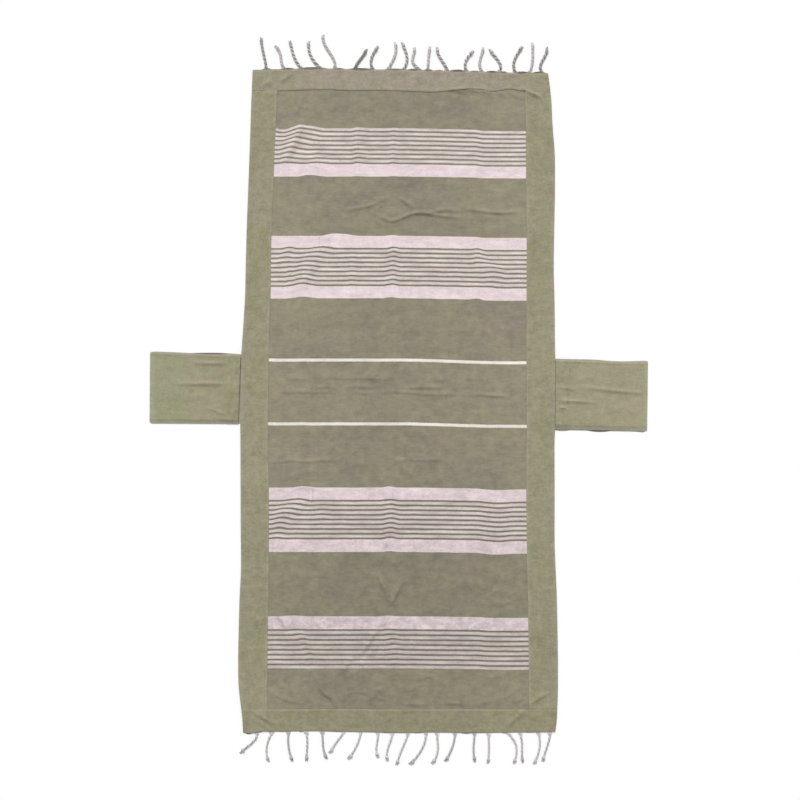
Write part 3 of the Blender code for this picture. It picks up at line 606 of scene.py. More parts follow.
def foldedEdge(away):  # how much higher a turned edge is, some way in from its end
    doubled = 1 - ease((away - cloth["hemReach"]) / cloth["hemSlope"])
    return cloth["hemRise"] * doubled - cloth["edgeDrop"] * (1 - ease(away / cloth["edgeReach"]))


def towelFace(u, v):
    x, y = clothPlace(u, v)
    seam = bell((np.abs(u) - cloth["sideSeam"]) / cloth["seamReach"])
    lift = cloth["seamLift"] * seam * (np.abs(v) < cloth["endSeam"])
    return x, y, lieAt(x, y) + cloth["top"] + lift


def sideStripFace(u, v):
    x, y = clothPlace(u, v)
    away = np.minimum(np.abs(u) - cloth["sideSeam"], cloth["halfWidth"] - np.abs(u))
    under = ease((np.abs(v) - cloth["endSeam"] + cloth["step"]) / cloth["step"])
    puff = foldedEdge(away) * (1 - under) - cloth["pressed"] * under
    return x, y, lieAt(x, y) + cloth["onCloth"] + puff


def endStripFace(u, v):
    x, y = clothPlace(u, v)
    over = overStripAt(u)
    seam = foldedEdge(np.abs(v) - cloth["endSeam"]) * (1 - over)
    rim = foldedEdge(np.minimum(cloth["halfLength"] - np.abs(v), cloth["halfWidth"] - np.abs(u)))
    drawnIn = (v - cloth["farInsetFrom"]) / (cloth["halfLength"] - cloth["farInsetFrom"])
    y = y - cloth["farInset"] * np.clip(drawnIn, 0.0, 1.0)
    return x, y, lieAt(x, y) + cloth["onCloth"] + cloth["overStrip"] * over + seam + rim


def finishPiece(piece, slotName, *nodes):
    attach(piece, "root")
    if nodes:
        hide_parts(*nodes)
    return piece


def shadeSmooth(mesh):
    mesh.polygons.foreach_set("use_smooth", [True] * len(mesh.polygons))


def newPiece(name, mesh, *materials):
    piece = bpy.data.objects.new(name, mesh)
    bpy.context.scene.collection.objects.link(piece)
    for material in materials:
        mesh.materials.append(material)
    return piece


def sheetPiece(name, across, along, face, pattern, material, thickness):
    bm = bmesh.new()
    bmesh.ops.create_grid(bm, x_segments=len(across) - 1, y_segments=len(along) - 1, size=0.5)
    mesh = bpy.data.meshes.new(name)
    bm.to_mesh(mesh)
    bm.free()
    flat = np.zeros(len(mesh.vertices) * 3)
    mesh.vertices.foreach_get("co", flat)
    flat = flat.reshape(-1, 3)
    column = np.rint((flat[:, 0] + 0.5) * (len(across) - 1)).astype(int)
    row = np.rint((flat[:, 1] + 0.5) * (len(along) - 1)).astype(int)
    u, v = across[column], along[row]
    x, y, z = face(u, v)
    mesh.vertices.foreach_set("co", np.column_stack((x, y, z)).ravel())
    s, t = pattern(u, v, x, y)
    corner = np.zeros(len(mesh.loops), np.int32)
    mesh.loops.foreach_get("vertex_index", corner)
    layer = mesh.uv_layers.new(name="flatCloth")
    layer.data.foreach_set("uv", np.column_stack((s, t))[corner].ravel())
    shadeSmooth(mesh)
    mesh.update()
    piece = newPiece(name, mesh, material)
    depth = piece.modifiers.new("cloth", "SOLIDIFY")
    depth.thickness = thickness
    depth.offset = -1.0
    depth.use_even_offset = True
    rim = piece.modifiers.new("worn edge", "BEVEL")
    rim.width = thickness * 0.3
    rim.segments = 2
    rim.limit_method = "ANGLE"
    rim.angle_limit = math.radians(50)
    rim.affect = "EDGES"
    rim.profile = 0.5
    rim.material = -1
    return piece


def panelFinish():
    look = {
        "olive": paint(148, 142, 119),
        "grey": paint(135, 127, 117),
        "leaf": paint(141, 140, 113),
        "pale": paint(243, 226, 228),
        "mauve": paint(222, 204, 209),
        "rim": paint(234, 224, 214),
        "cream": paint(235, 228, 220),
        "dusty": paint(206, 191, 189),
        "line": paint(243, 237, 225),
        "gap": paint(128, 116, 106),
        "russet": paint(150, 138, 121),
        "wideBands": [(0.2858, 0.3227), (0.4420, 0.4790), (0.6654, 0.7022)],
        "stripedBands": [(0.3227, 0.4420), (0.7022, 0.8158)],
        "thinLine": (0.0914, 0.1002),
        "pitch": 0.0142,
        "pitchStart": 0.705,   # the middle of the first thin stripe, in pitches from its band's start
        "lightHalf": 0.295,
        "rimWidth": 0.003,
        "bandBlur": 0.0016,
        "edgeGlow": 0.075,     # how much lighter the cloth is beside its side strips
        "fade": 1.43,          # how quickly the far and near ends take on their own look
        # faint upright lines where it was folded, painted as the light and shade of those folds: place,
        # low, high, and how much lighter
        "pressed": [
            (-0.129, 0.745, 0.800, 0.160), (-0.127, 0.645, 0.702, 0.080), (-0.240, 0.425, 0.480, -0.144),
            (-0.2605, -0.325, -0.286, 0.144), (-0.2565, -0.325, -0.286, -0.112),
            (-0.020, -0.480, -0.442, 0.080), (-0.018, -0.323, -0.288, -0.080),
            (-0.018, 0.425, 0.475, -0.064), (-0.128, -0.705, -0.662, -0.080),
            (-0.215, -0.705, -0.662, 0.080),
        ],
        "pressedReach": 0.0022,
        "warpPitch": 0.0011,
        "weftPitch": 0.0009,
    }
    f = Finish("stripedCloth", "flatCloth")

    # the woven bands and stripes, the same on both sides of the middle, with ragged edges
    away = abs(f.v) + (f.noise(420, 60, 2.0, 3.0) * 0.0026 - 0.0013)
    further = (f.v * look["fade"]).clamped()
    lower = (f.v * -look["fade"]).clamped()
    wide, rim = 0.0, 0.0
    for low, high in look["wideBands"]:
        band = f.between(away, low, high, look["bandBlur"])
        middle = f.between(away, low + look["rimWidth"], high - look["rimWidth"], look["rimWidth"])
        wide = band + wide
        rim = (band - middle) + rim
    line = f.between(away, *look["thinLine"], 0.0020)
    thin, dark = 0.0, 0.0
    for low, high in look["stripedBands"]:
        inside = f.between(away, low, high, look["bandBlur"] / 2)
        centre = abs(((away - low) / look["pitch"] + (0.5 - look["pitchStart"])).part() - 0.5)
        light = ((look["lightHalf"] - centre) / (0.17 + further * 0.12) + 0.5).clamped()
        thin = inside * light + thin
        dark = inside * (1 - light) + dark

    # the uneven colours of the ground, the wide bands and the thin stripes
    broad = f.noise(4.2, 5.5, 7.0, 3.0)
    blotch = f.noise(18, 21, 13.0, 3.0)
    greyer = ((broad - 0.5) * 2.0 + (blotch - 0.5) * 1.3 + 0.22).clamped()
    ground = f.mixed(greyer, look["olive"], look["grey"])
    leafy = f.patches(f.noise(11, 9, 41.0, 3.0), 3.2, -0.064)
    ground = f.mixed(leafy * 0.5, ground, look["leaf"])
    rusty = f.patches(f.noise(11, 12, 95.0, 3.0), 3.4, 0.1)
    ground = f.mixed(rusty * 0.55, ground, look["russet"])
    pinkish = f.patches(f.noise(34, 70, 17.0, 4.0, rough=0.7), 2.6, 0.45)
    pale = f.mixed(rim.clamped() * 0.8, f.mixed(pinkish, look["pale"], look["mauve"]), look["rim"])
    dusty = f.patches(f.noise(12, 95, 27.0, 3.0, rough=0.7), 3.2)
    cream = f.mixed(dusty, look["cream"], look["dusty"])
    colour = f.mixed(dark, ground, look["gap"])
    colour = f.mixed(thin, colour, cream)
    colour = f.mixed(line, f.mixed(wide, colour, pale), look["line"])
    wide = wide + line

    # lighter and darker threads and spots, and painted light and shade along the fold lines
    streakAcross = f.noise(14, 260, 21.0, 2.0)
    streakAlong = f.noise(320, 12, 31.0, 2.0)
    mottle = f.noise(9, 13, 71.0, 5.0, rough=0.85)
    flecks = f.noise(34, 42, 81.0, 2.0, rough=0.7)
    grain = f.noise(170, 210, 63.0, 2.0, rough=0.8)
    threadsAndFoldShade = (streakAcross - 0.5) * 0.09 + (streakAlong - 0.5) * 0.10
    threadsAndFoldShade = threadsAndFoldShade + (mottle - 0.5) * (0.42 + wide * 0.25)
    threadsAndFoldShade = threadsAndFoldShade + (flecks - 0.5) * (0.58 - wide * 0.5 - thin * 0.38 + wide * lower * 0.65)
    threadsAndFoldShade = threadsAndFoldShade + (grain - 0.5) * (wide + thin * 0.7) * 0.17
    # painted light and shade along the old fold lines
    for place, low, high, gain in look["pressed"]:
        pressed = f.peak(f.u, place, look["pressedReach"]) * f.between(f.v, low, high, 0.008)
        threadsAndFoldShade = threadsAndFoldShade + pressed * gain

    # painted shade: darker towards the near end, standing in for the light's falloff; lighter beside the
    # strips
    fall = lower * (0.09 + (wide + thin) * 0.11) + f.peak(f.v, -0.60, 0.26) * 0.05 * (1 - wide)
    glow = (f.u * f.u) * (look["edgeGlow"] / 0.385 ** 2) - look["edgeGlow"] * 0.4
    ends = (abs(f.v) - 0.55) * 0.02
    colour = f.toned(colour, 0.985 + threadsAndFoldShade - fall + glow * (1 - wide) + ends)
    weave = f.weave(look["warpPitch"], look["weftPitch"])
    crumple = f.noise(40, 62, 51.0, 4.0, rough=0.75) * 2.3 + f.noise(16, 25, 61.0, 2.0) * 2.4
    height = weave * 0.16 + crumple + (streakAcross + streakAlong) * 0.2
    return f.done(colour, 0.92 - wide * 0.05, height, 0.001, 1.0)


# bands across or along: place, reach, and how much lighter the cloth is there. Most are painted shade and
# painted highlights (falloff along the side strips, highlights on turned edges and against the shadows of
# steps); the rest are tone. rim and seam paint highlights along a side strip's outer edge and a strip's
# inner seam
def borderFinish(name, tint, warmth=0.3, lightShadeAndToneBands=(), rim=0.0, mouth=False, seam="", flecked=0.85,
                 varied=1.0, greenEnd=0.0):
    pinkish = warmth > 0.5
    look = {
        "olive": paint(155 * tint, 150 * tint, 124 * tint),
        "green": paint(147 * tint, 146 * tint, 112 * tint),
        "brown": paint(159 * tint, 149 * tint, 129 * tint),
        "pink": paint(160 * tint, 150 * tint, 136 * tint),
        # end, seam and rim are painted highlights; shade is painted light for the shadowed gap at a
        # pocket's mouth; under is painted shade
        "end": paint(171, 169, 149),
        "paleSides": paint(163, 160, 145),
        "shade": paint(180, 172, 147),
        "endGreen": paint(149 * tint, 153 * tint, 122 * tint),
        "seam": paint(172, 167, 146),
        "rim": paint(160, 157, 141),
        "under": paint(112, 98, 100),
        "warpPitch": 0.0010,
        "weftPitch": 0.0010,
    }
    f = Finish(name, "flatCloth")
    broad = f.noise(13, 6, 3.0, 3.0)
    blotch = f.noise(40, 30, 5.0, 3.0)
    streakAcross = f.noise(30, 300, 8.0, 2.0)
    streakAlong = f.noise(330, 22, 9.0, 2.0)
    mottle = f.noise(12, 14, 75.0, 5.0, rough=0.85)
    flecks = f.noise(42, 46, 85.0, 3.0, rough=0.95)
    colour = f.mixed(f.patches(broad, 3.0 * varied), look["olive"], look["green"])
    browner = f.patches(blotch, 2.1 * varied, warmth)
    if pinkish:  # most so in the middle of the strip
        central = ((0.42 - abs(f.u)) / 0.14).clamped() * 0.6 + 0.4
        browner = f.patches(blotch, 2.2, 0.80) * central
    colour = f.mixed(browner, colour, look["pink" if pinkish else "brown"])
    tone = 1.0 + (streakAcross - 0.5) * 0.16 + (streakAlong - 0.5) * 0.16 + (mottle - 0.5) * 0.5
    tone = tone + (flecks - 0.5) * flecked
    if pinkish:  # painted highlight on the seam over the side strips' ends, lightening the shadow of the step there
        tone = tone + f.peak(abs(f.v), 0.9338, 0.003) * ((abs(f.u) - 0.388) / 0.004).clamped() * 0.45
    for way, place, reach, gain in lightShadeAndToneBands:
        tone = tone + f.peak(f.u if way == "u" else f.v, place, reach) * gain
    if mouth:  # a pocket: its under layer, its turned outer end and its mouth, with painted light and shade
        along = f.u + (f.noise(40, 60, 33.0) - 0.5) * 0.004
        # painted highlight: a lighter band on the rounded fold at the outer end
        colour = f.mixed(f.peak(along, 0.274, 0.016) * 0.8, colour, look["end"])
        colour = f.mixed(((0.390 - along) / 0.03).clamped() * greenEnd, colour, look["endGreen"])
        # painted shade: the under layer, where it shows past the upper one, is dark purple-brown; next to
        # the mouth it is painted lighter instead, as painted light in the shadowed gap
        under = f.mixed(((along - 0.030) / 0.03).clamped(), look["shade"], look["under"])
        # lighter towards the pocket's sides
        colour = f.mixed(((abs(f.v) - 0.0975) / 0.004).clamped() * 0.7, colour, look["paleSides"])
        colour = f.mixed(((0.258 - along) / 0.008).clamped(), colour, under)
        # painted shade: a darker line where the upper layer rises from its side seams
        tone = tone - f.peak(abs(f.v), 0.0955, 0.0050) * 0.16
        # painted light and shade of the puckers near the mouth
        puckers = f.noise(230, 26, 91.0, 2.0, rough=0.7)
        tone = tone + (puckers - 0.5) * ((along - 0.485) / 0.045).clamped() * 0.55
    if rim:
        # painted highlight along the side strip's outer edge
        outer = ((abs(f.u) - rim) / 0.008).clamped()
        colour = f.mixed(outer * 0.55, colour, look["rim"])
    if seam:
        # painted highlight along the strip's turned inner edge at its seam
        place = 0.3922 if seam == "u" else 0.9355
        inner = f.peak(abs(f.u if seam == "u" else f.v), place, 0.0048)
        colour = f.mixed(inner * (blotch * 1.3 - 0.3).clamped(), colour, look["seam"])
    colour = f.toned(colour, tone)
    weave = f.weave(look["warpPitch"], look["weftPitch"])
    crumple = f.noise(46, 56, 15.0, 4.0, rough=0.75) * 2.4 + f.noise(18, 24, 25.0, 2.0) * 2.8
    height = weave * 0.16 + crumple + (streakAcross + streakAlong) * 0.25
    return f.done(colour, 0.9, height, 0.001, 1.0)


def yarnFinish(name, first, second):
    f = Finish(name)
    fleck = f.patches(f.noise(420, 420, 2.0, 3.0, 420), 3.0)
    fibre = f.noise(1500, 1500, 4.0, 2.0, 1500)
    colour = f.mixed(fleck, first, second)
    return f.done(colour, 0.95, fibre, 0.0003, 0.8, 0.3)


def floorFinish():
    f = Finish("paleFloor")
    grain = f.noise(3, 3, 1.0, 2.0)
    colour = f.mixed(grain, (0.965, 0.965, 0.965, 1.0), (0.98, 0.98, 0.98, 1.0))
    return f.done(colour, 0.95, grain, 0.0001, 0.05, 0.0)


stripedCloth = panelFinish()
# side strips: painted shade towards the near end, a painted highlight beside the far strip's edge against
# the shadow of its step, and painted highlights along the outer edge and the inner seam
leftCloth = borderFinish(
    "leftStripCloth", 0.99, 0.30, [("v", -0.62, 0.35, -0.08), ("v", 0.9318, 0.0035, 0.22)],
    rim=0.459, seam="u")
rightCloth = borderFinish(
    "rightStripCloth", 0.99, 0.30, [("v", -0.78, 0.42, -0.07), ("v", 0.9318, 0.0035, 0.22)],
    rim=0.459, seam="u")
# far strip: a painted highlight along its turned far edge
farCloth = borderFinish("farStripCloth", 1.005, 0.85, [("v", 1.0, 0.006, 0.16)])
# near strip: darker in the middle and lighter at the left end, a painted highlight along its near edge
# against its shadow there, and a painted highlight at its inner seam
nearCloth = borderFinish(
    "nearStripCloth", 0.955, 0.20,
    [("u", 0.02, 0.40, -0.06), ("u", -0.44, 0.06, 0.04), ("v", -1.0, 0.006, 0.20)], seam="v")
# pockets: darker towards the mouth and a little lighter further out
leftPocketCloth = borderFinish(
    "leftPocketCloth", 1.02, 0.30,
    [("u", 0.5445, 0.080, -0.05), ("u", 0.5445, 0.020, -0.04), ("u", 0.378, 0.05, 0.02)],
    mouth=True, flecked=0.5, greenEnd=0.40)
rightPocketCloth = borderFinish(
    "rightPocketCloth", 1.035, 0.30,
    [("u", 0.5575, 0.080, -0.06), ("u", 0.5575, 0.016, -0.02), ("u", 0.300, 0.05, 0.035)],
    mouth=True, flecked=0.5, varied=0.45)
seamThread = yarnFinish("seamThread", paint(178, 173, 148), paint(158, 153, 130))
yarns = {
    "dark": yarnFinish("darkYarn", paint(122, 118, 117), paint(160, 156, 154)),
    "slate": yarnFinish("slateYarn", paint(151, 146, 152), paint(186, 180, 186)),
    "grey": yarnFinish("greyYarn", paint(171, 167, 166), paint(202, 198, 197)),
    "pale": yarnFinish("paleYarn", paint(224, 219, 217), paint(196, 191, 190)),
    "pink": yarnFinish("pinkYarn", paint(227, 216, 220), paint(204, 193, 199)),
}
print("finishes made")


leftColumns = acrossMarks <= -cloth["sideSeam"] + 1e-6
rightColumns = acrossMarks >= cloth["sideSeam"] - 1e-6
nearRows = alongMarks <= -cloth["endSeam"] + 1e-6
farRows = alongMarks >= cloth["endSeam"] - 1e-6

towel = sheetPiece(
    "towelCloth", acrossMarks, alongMarks, towelFace,
    lambda u, v, x, y: (x, y - pullAt(x, y)), stripedCloth, cloth["thickness"],
)
finishPiece(towel, "panel_cloth", "towel")


def straight(u, v, x, y):  # a pattern that follows the cloth's own edges
    return u, v


borderPieces = [
    ("sideStripLeft", acrossMarks[leftColumns], alongMarks, sideStripFace, leftCloth, "border_left"),
    ("sideStripRight", acrossMarks[rightColumns], alongMarks, sideStripFace, rightCloth, "border_right"),
    ("endStripFar", acrossMarks, alongMarks[farRows], endStripFace, farCloth, "border_top"),
    ("endStripNear", acrossMarks, alongMarks[nearRows], endStripFace, nearCloth, "border_bottom"),
]
for name, across, along, face, material, node in borderPieces:
    strip = sheetPiece(name, across, along, face, straight, material, cloth["stripThickness"])
    finishPiece(strip, "border_cloth", node)
print("centre cloth and strips laid")


pocketSettings = {
    "thickness": 0.0009,
    "floorLayer": 0.00055,   # middle of the under layer above the floor
    "tuck": 0.018,
    "seam": 0.005,
    "hem": 0.039,
    "pitch": 0.0042,
    "foldRound": 0.0011,
    "turnRound": 0.0006,     # the mouth's edge turns in round this,
    "turnIn": 0.012,         # runs in so far
    "turnDrop": 0.00115,     # and lies so much lower
    "sewnDown": 0.0009,      # how far the side seams draw the layers together
    "fromSeam": (0.001, 0.009),   # where the upper layer starts to rise, and over what length
    "fromFold": (0.001, 0.030),
    "hollow": 0.0012,
    "corner": 0.009,
    "lip": 0.0006,           # how far the under layer shows beside the upper one
    # what rises towards the mouth: height, how far from it, and over what length
    "mouthLift": (0.0010, 0.045, 0.020),
    "mouthWaves": (0.0013, 0.050, 0.050),
    "mouthPuckers": (0.0018, 0.060, 0.030),
    "mouthHem": (0.0006, 0.040, 0.0025),
    "mouthRim": (0.0008, 0.040, 0.010),
    "waves": 3.3,            # along the mouth
}
# name, node, finish, mouth x, mouth y, turn, skew, length, mouth width, end width, where
# the under layer shows (start, stop, by how much), where an edge sags, and the creases
pocketMarks = [
    ("pocketLeft", "pocket_left", leftPocketCloth, -0.4785, 0.0077, 178.8, -0.036, 0.2690, 0.2090, 0.2160,
     [(-0.010, 0.150, 0.0040)], [(-1, 0.100, 0.110, 0.0016)],
     [(0.035, -0.076, 0.150, -0.076, 0.008, 0.0044), (0.030, -0.016, 0.190, -0.012, 0.009, 0.0044),
      (0.012, 0.030, 0.012, 0.095, 0.005, 0.0030), (0.028, -0.020, 0.028, 0.080, 0.005, 0.0026),
      (0.041, -0.060, 0.042, 0.030, 0.005, 0.0020), (0.065, -0.090, 0.066, 0.095, 0.005, 0.0009),
      (0.040, 0.078, 0.085, 0.060, 0.007, 0.0030), (0.045, 0.050, 0.110, 0.062, 0.009, 0.0016),
      (0.024, 0.092, 0.060, 0.090, 0.006, 0.0026), (0.100, 0.020, 0.180, 0.034, 0.012, 0.0014)]),
    ("pocketRight", "pocket_right", rightPocketCloth, 0.4725, -0.0070, -1.2, 0.014, 0.2755, 0.2130, 0.2130,
     [(-0.006, 0.044, 0.0040), (0.094, 0.168, 0.0042), (0.246, 0.290, 0.0030)], [(1, 0.190, 0.090, 0.0036)],
     [(0.070, 0.022, 0.276, 0.006, 0.010, 0.0046), (0.002, -0.020, 0.130, -0.024, 0.007, 0.0042),
      (0.004, -0.042, 0.040, -0.043, 0.006, 0.0036), (0.004, 0.020, 0.064, 0.014, 0.006, 0.0032),
      (0.022, 0.030, 0.022, 0.095, 0.005, 0.0022), (0.034, -0.070, 0.035, 0.090, 0.005, 0.0018),
      (0.055, 0.040, 0.120, 0.055, 0.012, 0.0016), (0.140, -0.050, 0.210, -0.040, 0.012, 0.0014)]),
]


def pocketSheet(name, node, finish, x0, y0, turn, skew, length, mouthWidth, endWidth, lips, sags, creases):
    own = pocketSettings
    half = mouthWidth / 2
    bend = own["foldRound"]
    straightRun = length - bend
    arc = math.pi * bend
    turnArc = math.pi * own["turnRound"]
    under = spacing((-own["tuck"], 0.0, 4), (0.0, straightRun, 24))
    fold = spacing((0.0, arc, 6))[1:] + length - bend
    upper = spacing((0.0, straightRun, round(length / own["pitch"])))[1:] + fold[-1]
    mouth = upper[-1]
    turned = spacing((0.0, turnArc, 4), (turnArc, own["turnIn"], 3))[1:] + mouth
    along = np.r_[under, fold, upper, turned]
    across = spacing((-half, -half + own["seam"], 2), (-half + own["seam"], half - own["seam"], 48),
                     (half - own["seam"], half, 2))

    def rising(s, key):  # one of the rises towards the mouth
        height, start, slope = own[key]
        return height * ease((start - s) / slope)

    def heightAt(u, s):  # of the upper layer over the under one, sewn flat and with its puffs
        edge = ease((half - np.abs(u) - own["fromSeam"][0]) / own["fromSeam"][1])
        end = ease((length - s - own["fromFold"][0]) / own["fromFold"][1])
        wave = 0.5 + 0.5 * np.cos(math.tau * own["waves"] * u / mouthWidth + 0.4)
        puff = own["hollow"] + sum(ridgeAt(s, u, *marks) for marks in creases) + rising(s, "mouthLift")
        puff = puff + wave * rising(s, "mouthWaves") + roughAt(s, u, 130, 60, 4) * rising(s, "mouthPuckers")
        sewn = bend * 2 - own["sewnDown"] * (1 - edge)
        return sewn, sewn + (puff * end + rising(s, "mouthHem")) * edge + rising(s, "mouthRim")

    def face(u, v):
        onArc = np.clip((v - straightRun) / arc, 0.0, 1.0)
        back = np.clip(v - fold[-1], 0.0, straightRun)
        inTurn = np.clip((v - mouth) / turnArc, 0.0, 1.0)
        pastTurn = np.clip(v - mouth - turnArc, 0.0, 1.0)
        isUpper = v > fold[-1] - 1e-9
        s = np.where(v < straightRun, v, straightRun + bend * np.sin(math.pi * onArc))
        s = np.where(isUpper, straightRun - back, s)
        s = np.where(v > mouth, -own["turnRound"] * np.sin(math.pi * inTurn) + pastTurn, s)
        sewn, raised = heightAt(u, s)
        z = own["floorLayer"] + (1 - np.cos(math.pi * onArc)) / 2 * np.where(isUpper, raised, sewn)
        z = z - np.where(v > mouth, (1 - np.cos(math.pi * inTurn)) / 2 * own["turnDrop"], 0.0)
        widen = 1 + (endWidth / mouthWidth - 1) * np.clip(s / length, 0.0, 1.0)
        corner = np.clip((s - length) / own["corner"] + 1, 0.0, 1.0)
        widen = widen - own["corner"] * 0.5 * (1 - np.sqrt(1 - corner * corner * 0.98)) / half
        lip = own["lip"] + shownAt(s, lips, 0.5)
        side = u * widen - np.where((u < -half + 0.0001) & (v < straightRun), lip, 0.0)
        for edgeSide, centre, reach, sag in sags:
            inwards = edgeSide * sag * bell((s - centre) / reach)
            side = side - inwards * np.clip(edgeSide * u / half, 0.0, 1.0)
        s = s + skew * side * np.clip(s / length, 0.0, 1.0)
        cos, sin = math.cos(math.radians(turn)), math.sin(math.radians(turn))
        return x0 + s * cos - side * sin, y0 + s * sin + side * cos, z

    piece = sheetPiece(name, across, along, face, lambda u, v, x, y: (v, u), finish, own["thickness"])
    piece.modifiers["cloth"].offset = 0.0
    finishPiece(piece, "border_cloth", node)
    return piece, face, fold[-1], length, half


pockets = [pocketSheet(*marks) for marks in pocketMarks]
print("pockets folded")


stitchSettings = {
    "pitch": 0.0034,
    "length": 0.0025,
    "width": 0.0008,
    "height": 0.0007,
    "fromSeam": 0.003,    # a run's distance from a strip's inner edge,
    "fromEdge": 0.0035,   # from an outer edge
    "fromEnd": 0.004,     # and of its ends from a pocket's corners
    "sway": 0.07,
}


def stitchShape():
    bm = bmesh.new()
    bmesh.ops.create_uvsphere(bm, u_segments=6, v_segments=4, radius=0.5)
    size = (stitchSettings["width"], stitchSettings["height"], stitchSettings["length"])
    bmesh.ops.scale(bm, vec=size, verts=bm.verts)
    bmesh.ops.rotate(bm, cent=(0, 0, 0), matrix=Matrix.Rotation(math.radians(90), 3, "Y"), verts=bm.verts)
    mesh = bpy.data.meshes.new("stitch")
    bm.to_mesh(mesh)
    bm.free()
    return mesh


def spacedAlong(points, pitch):  # places and directions at an even pitch on a line
    steps = np.linalg.norm(np.diff(points, axis=0), axis=1)
    done = np.r_[0.0, np.cumsum(steps)]
    spots = np.arange(pitch / 2, done[-1], pitch)
    middles, starts, stops = [np.column_stack([np.interp(spots + d, done, points[:, k]) for k in range(3)])
                              for d in (0.0, -pitch * 0.3, pitch * 0.3)]
    return middles, stops - starts


def stitchRuns(name, runs):
    stitch = stitchShape()
    bm = bmesh.new()
    for points in runs:
        for spot, way in zip(*spacedAlong(np.array(points), stitchSettings["pitch"])):
            turn = Vector(way).to_track_quat("X", "Z").to_matrix().to_4x4()
            sway = Matrix.Rotation(chance.uniform(-stitchSettings["sway"], stitchSettings["sway"]), 4, "Z")
            place = Matrix.Translation(Vector(spot)) @ turn @ sway
            stitch.transform(place)
            bm.from_mesh(stitch)
            stitch.transform(place.inverted())
    mesh = bpy.data.meshes.new(name)
    bm.to_mesh(mesh)
    bm.free()
    shadeSmooth(mesh)
    bpy.data.meshes.remove(stitch)
    return finishPiece(newPiece(name, mesh, seamThread), "sewing_thread")


def runOn(face, u, v, lift=0.0001):  # a line that lies on a piece's face
    u = np.broadcast_to(u, np.broadcast(u, v).shape).astype(float)
    v = np.broadcast_to(v, u.shape).astype(float)
    x, y, z = face(u, v)
    return np.column_stack((x, y, z + lift))


seamRows = alongMarks[np.abs(alongMarks) < cloth["endSeam"] - 0.001]
fromSeam, fromEdge = stitchSettings["fromSeam"], stitchSettings["fromEdge"]
seamColumns = acrossMarks[np.abs(acrossMarks) < cloth["halfWidth"] - 0.001]
for label, side in (("Left", -1), ("Right", 1)):
    places = (cloth["sideSeam"] + fromSeam, cloth["halfWidth"] - fromEdge)
    runs = [runOn(sideStripFace, side * place, seamRows) for place in places]
    stitchRuns("seamStitches" + label, runs)
for label, side in (("Near", -1), ("Far", 1)):
    places = (cloth["endSeam"] + fromSeam, cloth["halfLength"] - fromEdge)
    runs = [runOn(endStripFace, seamColumns, side * place) for place in places]
    stitchRuns("endStitches" + label, runs)
fromEnd = stitchSettings["fromEnd"]
pocketStitches = []
for piece, face, foldEnd, length, half in pockets:
    down = foldEnd + spacing((fromEnd, length - fromEnd, 60))
    runs = [runOn(face, side * (half - fromEdge), down, 0.0005) for side in (-1, 1)]
    hemPlace = foldEnd + length - pocketSettings["foldRound"] - pocketSettings["hem"] + 0.002
    runs.append(runOn(face, spacing((-half + fromEnd, half - fromEnd, 50)), hemPlace, 0.0005))
    pocketStitches.append(stitchRuns(piece.name + "Stitches", runs))
print("seams stitched")


fringeSettings = {
    "header": 0.003,         # how far out of the cloth's end the strands start
    "bends": (0.35, 0.70),   # where a strand strays from its straight line
    "low": 0.0014,           # height of its middle at the root,
    "rise": 0.0017,          # what it rises from there,
    "grown": 0.16,           # and the part of its reach by which it has its full size
    "ply": 0.00170,          # radius of one ply, and how far it runs from the middle
    "spread": 0.00150,
    "turn": 0.0125,          # length of one full twist
    "stepsPerTurn": 9,
    "gathered": 6,           # warp yarns that gather into a strand
    "gatherReach": (0.0050, 0.0085),
    "warpYarn": 0.0007,
    "knotAcross": 0.0033,
    "knotUp": 0.0021,
    "knotPly": 0.0020,
    "knotFrom": 0.0135,      # distances from the tip
    "knotTo": 0.0062,
    "knotTilt": 0.0012,
    "brush": 15,
    "brushYarns": (0.0009, 0.0009, 0.00085, 0.0008, 0.0007),
}
# root place, reach, lean, how far it strays at its two bends, and its two yarns
farStrands = [
    (-0.410, 0.098, -0.016, 0.000, -0.002, "dark", "grey"),
    (-0.354, 0.073, -0.031, 0.001, 0.007, "pink", "grey"),
    (-0.302, 0.086, -0.036, -0.007, -0.004, "pale", "dark"),
    (-0.243, 0.083, -0.036, -0.012, -0.010, "pale", "dark"),
    (-0.197, 0.104, -0.037, 0.004, -0.005, "pale", "grey"),
    (-0.135, 0.061, 0.035, -0.001, 0.002, "dark", "dark"),
    (-0.080, 0.071, 0.016, -0.011, -0.008, "dark", "grey"),
    (-0.032, 0.083, 0.021, 0.008, 0.009, "pale", "grey"),
    (0.016, 0.084, -0.005, 0.012, 0.008, "dark", "pale"),
    (0.068, 0.068, -0.020, -0.017, -0.007, "pale", "grey"),
    (0.091, 0.071, 0.006, -0.001, -0.001, "grey", "pink"),
    (0.151, 0.071, -0.031, -0.003, -0.006, "dark", "pink"),
    (0.210, 0.063, 0.024, -0.012, -0.010, "dark", "pale"),
    (0.257, 0.074, 0.006, -0.008, -0.004, "pale", "grey"),
    (0.310, 0.071, -0.026, 0.013, 0.005, "pale", "dark"),
    (0.362, 0.081, 0.022, -0.013, -0.009, "dark", "grey"),
    (0.406, 0.093, 0.010, 0.005, 0.003, "grey", "pink"),
    (0.444, 0.079, 0.015, -0.008, 0.001, "grey", "dark"),
]
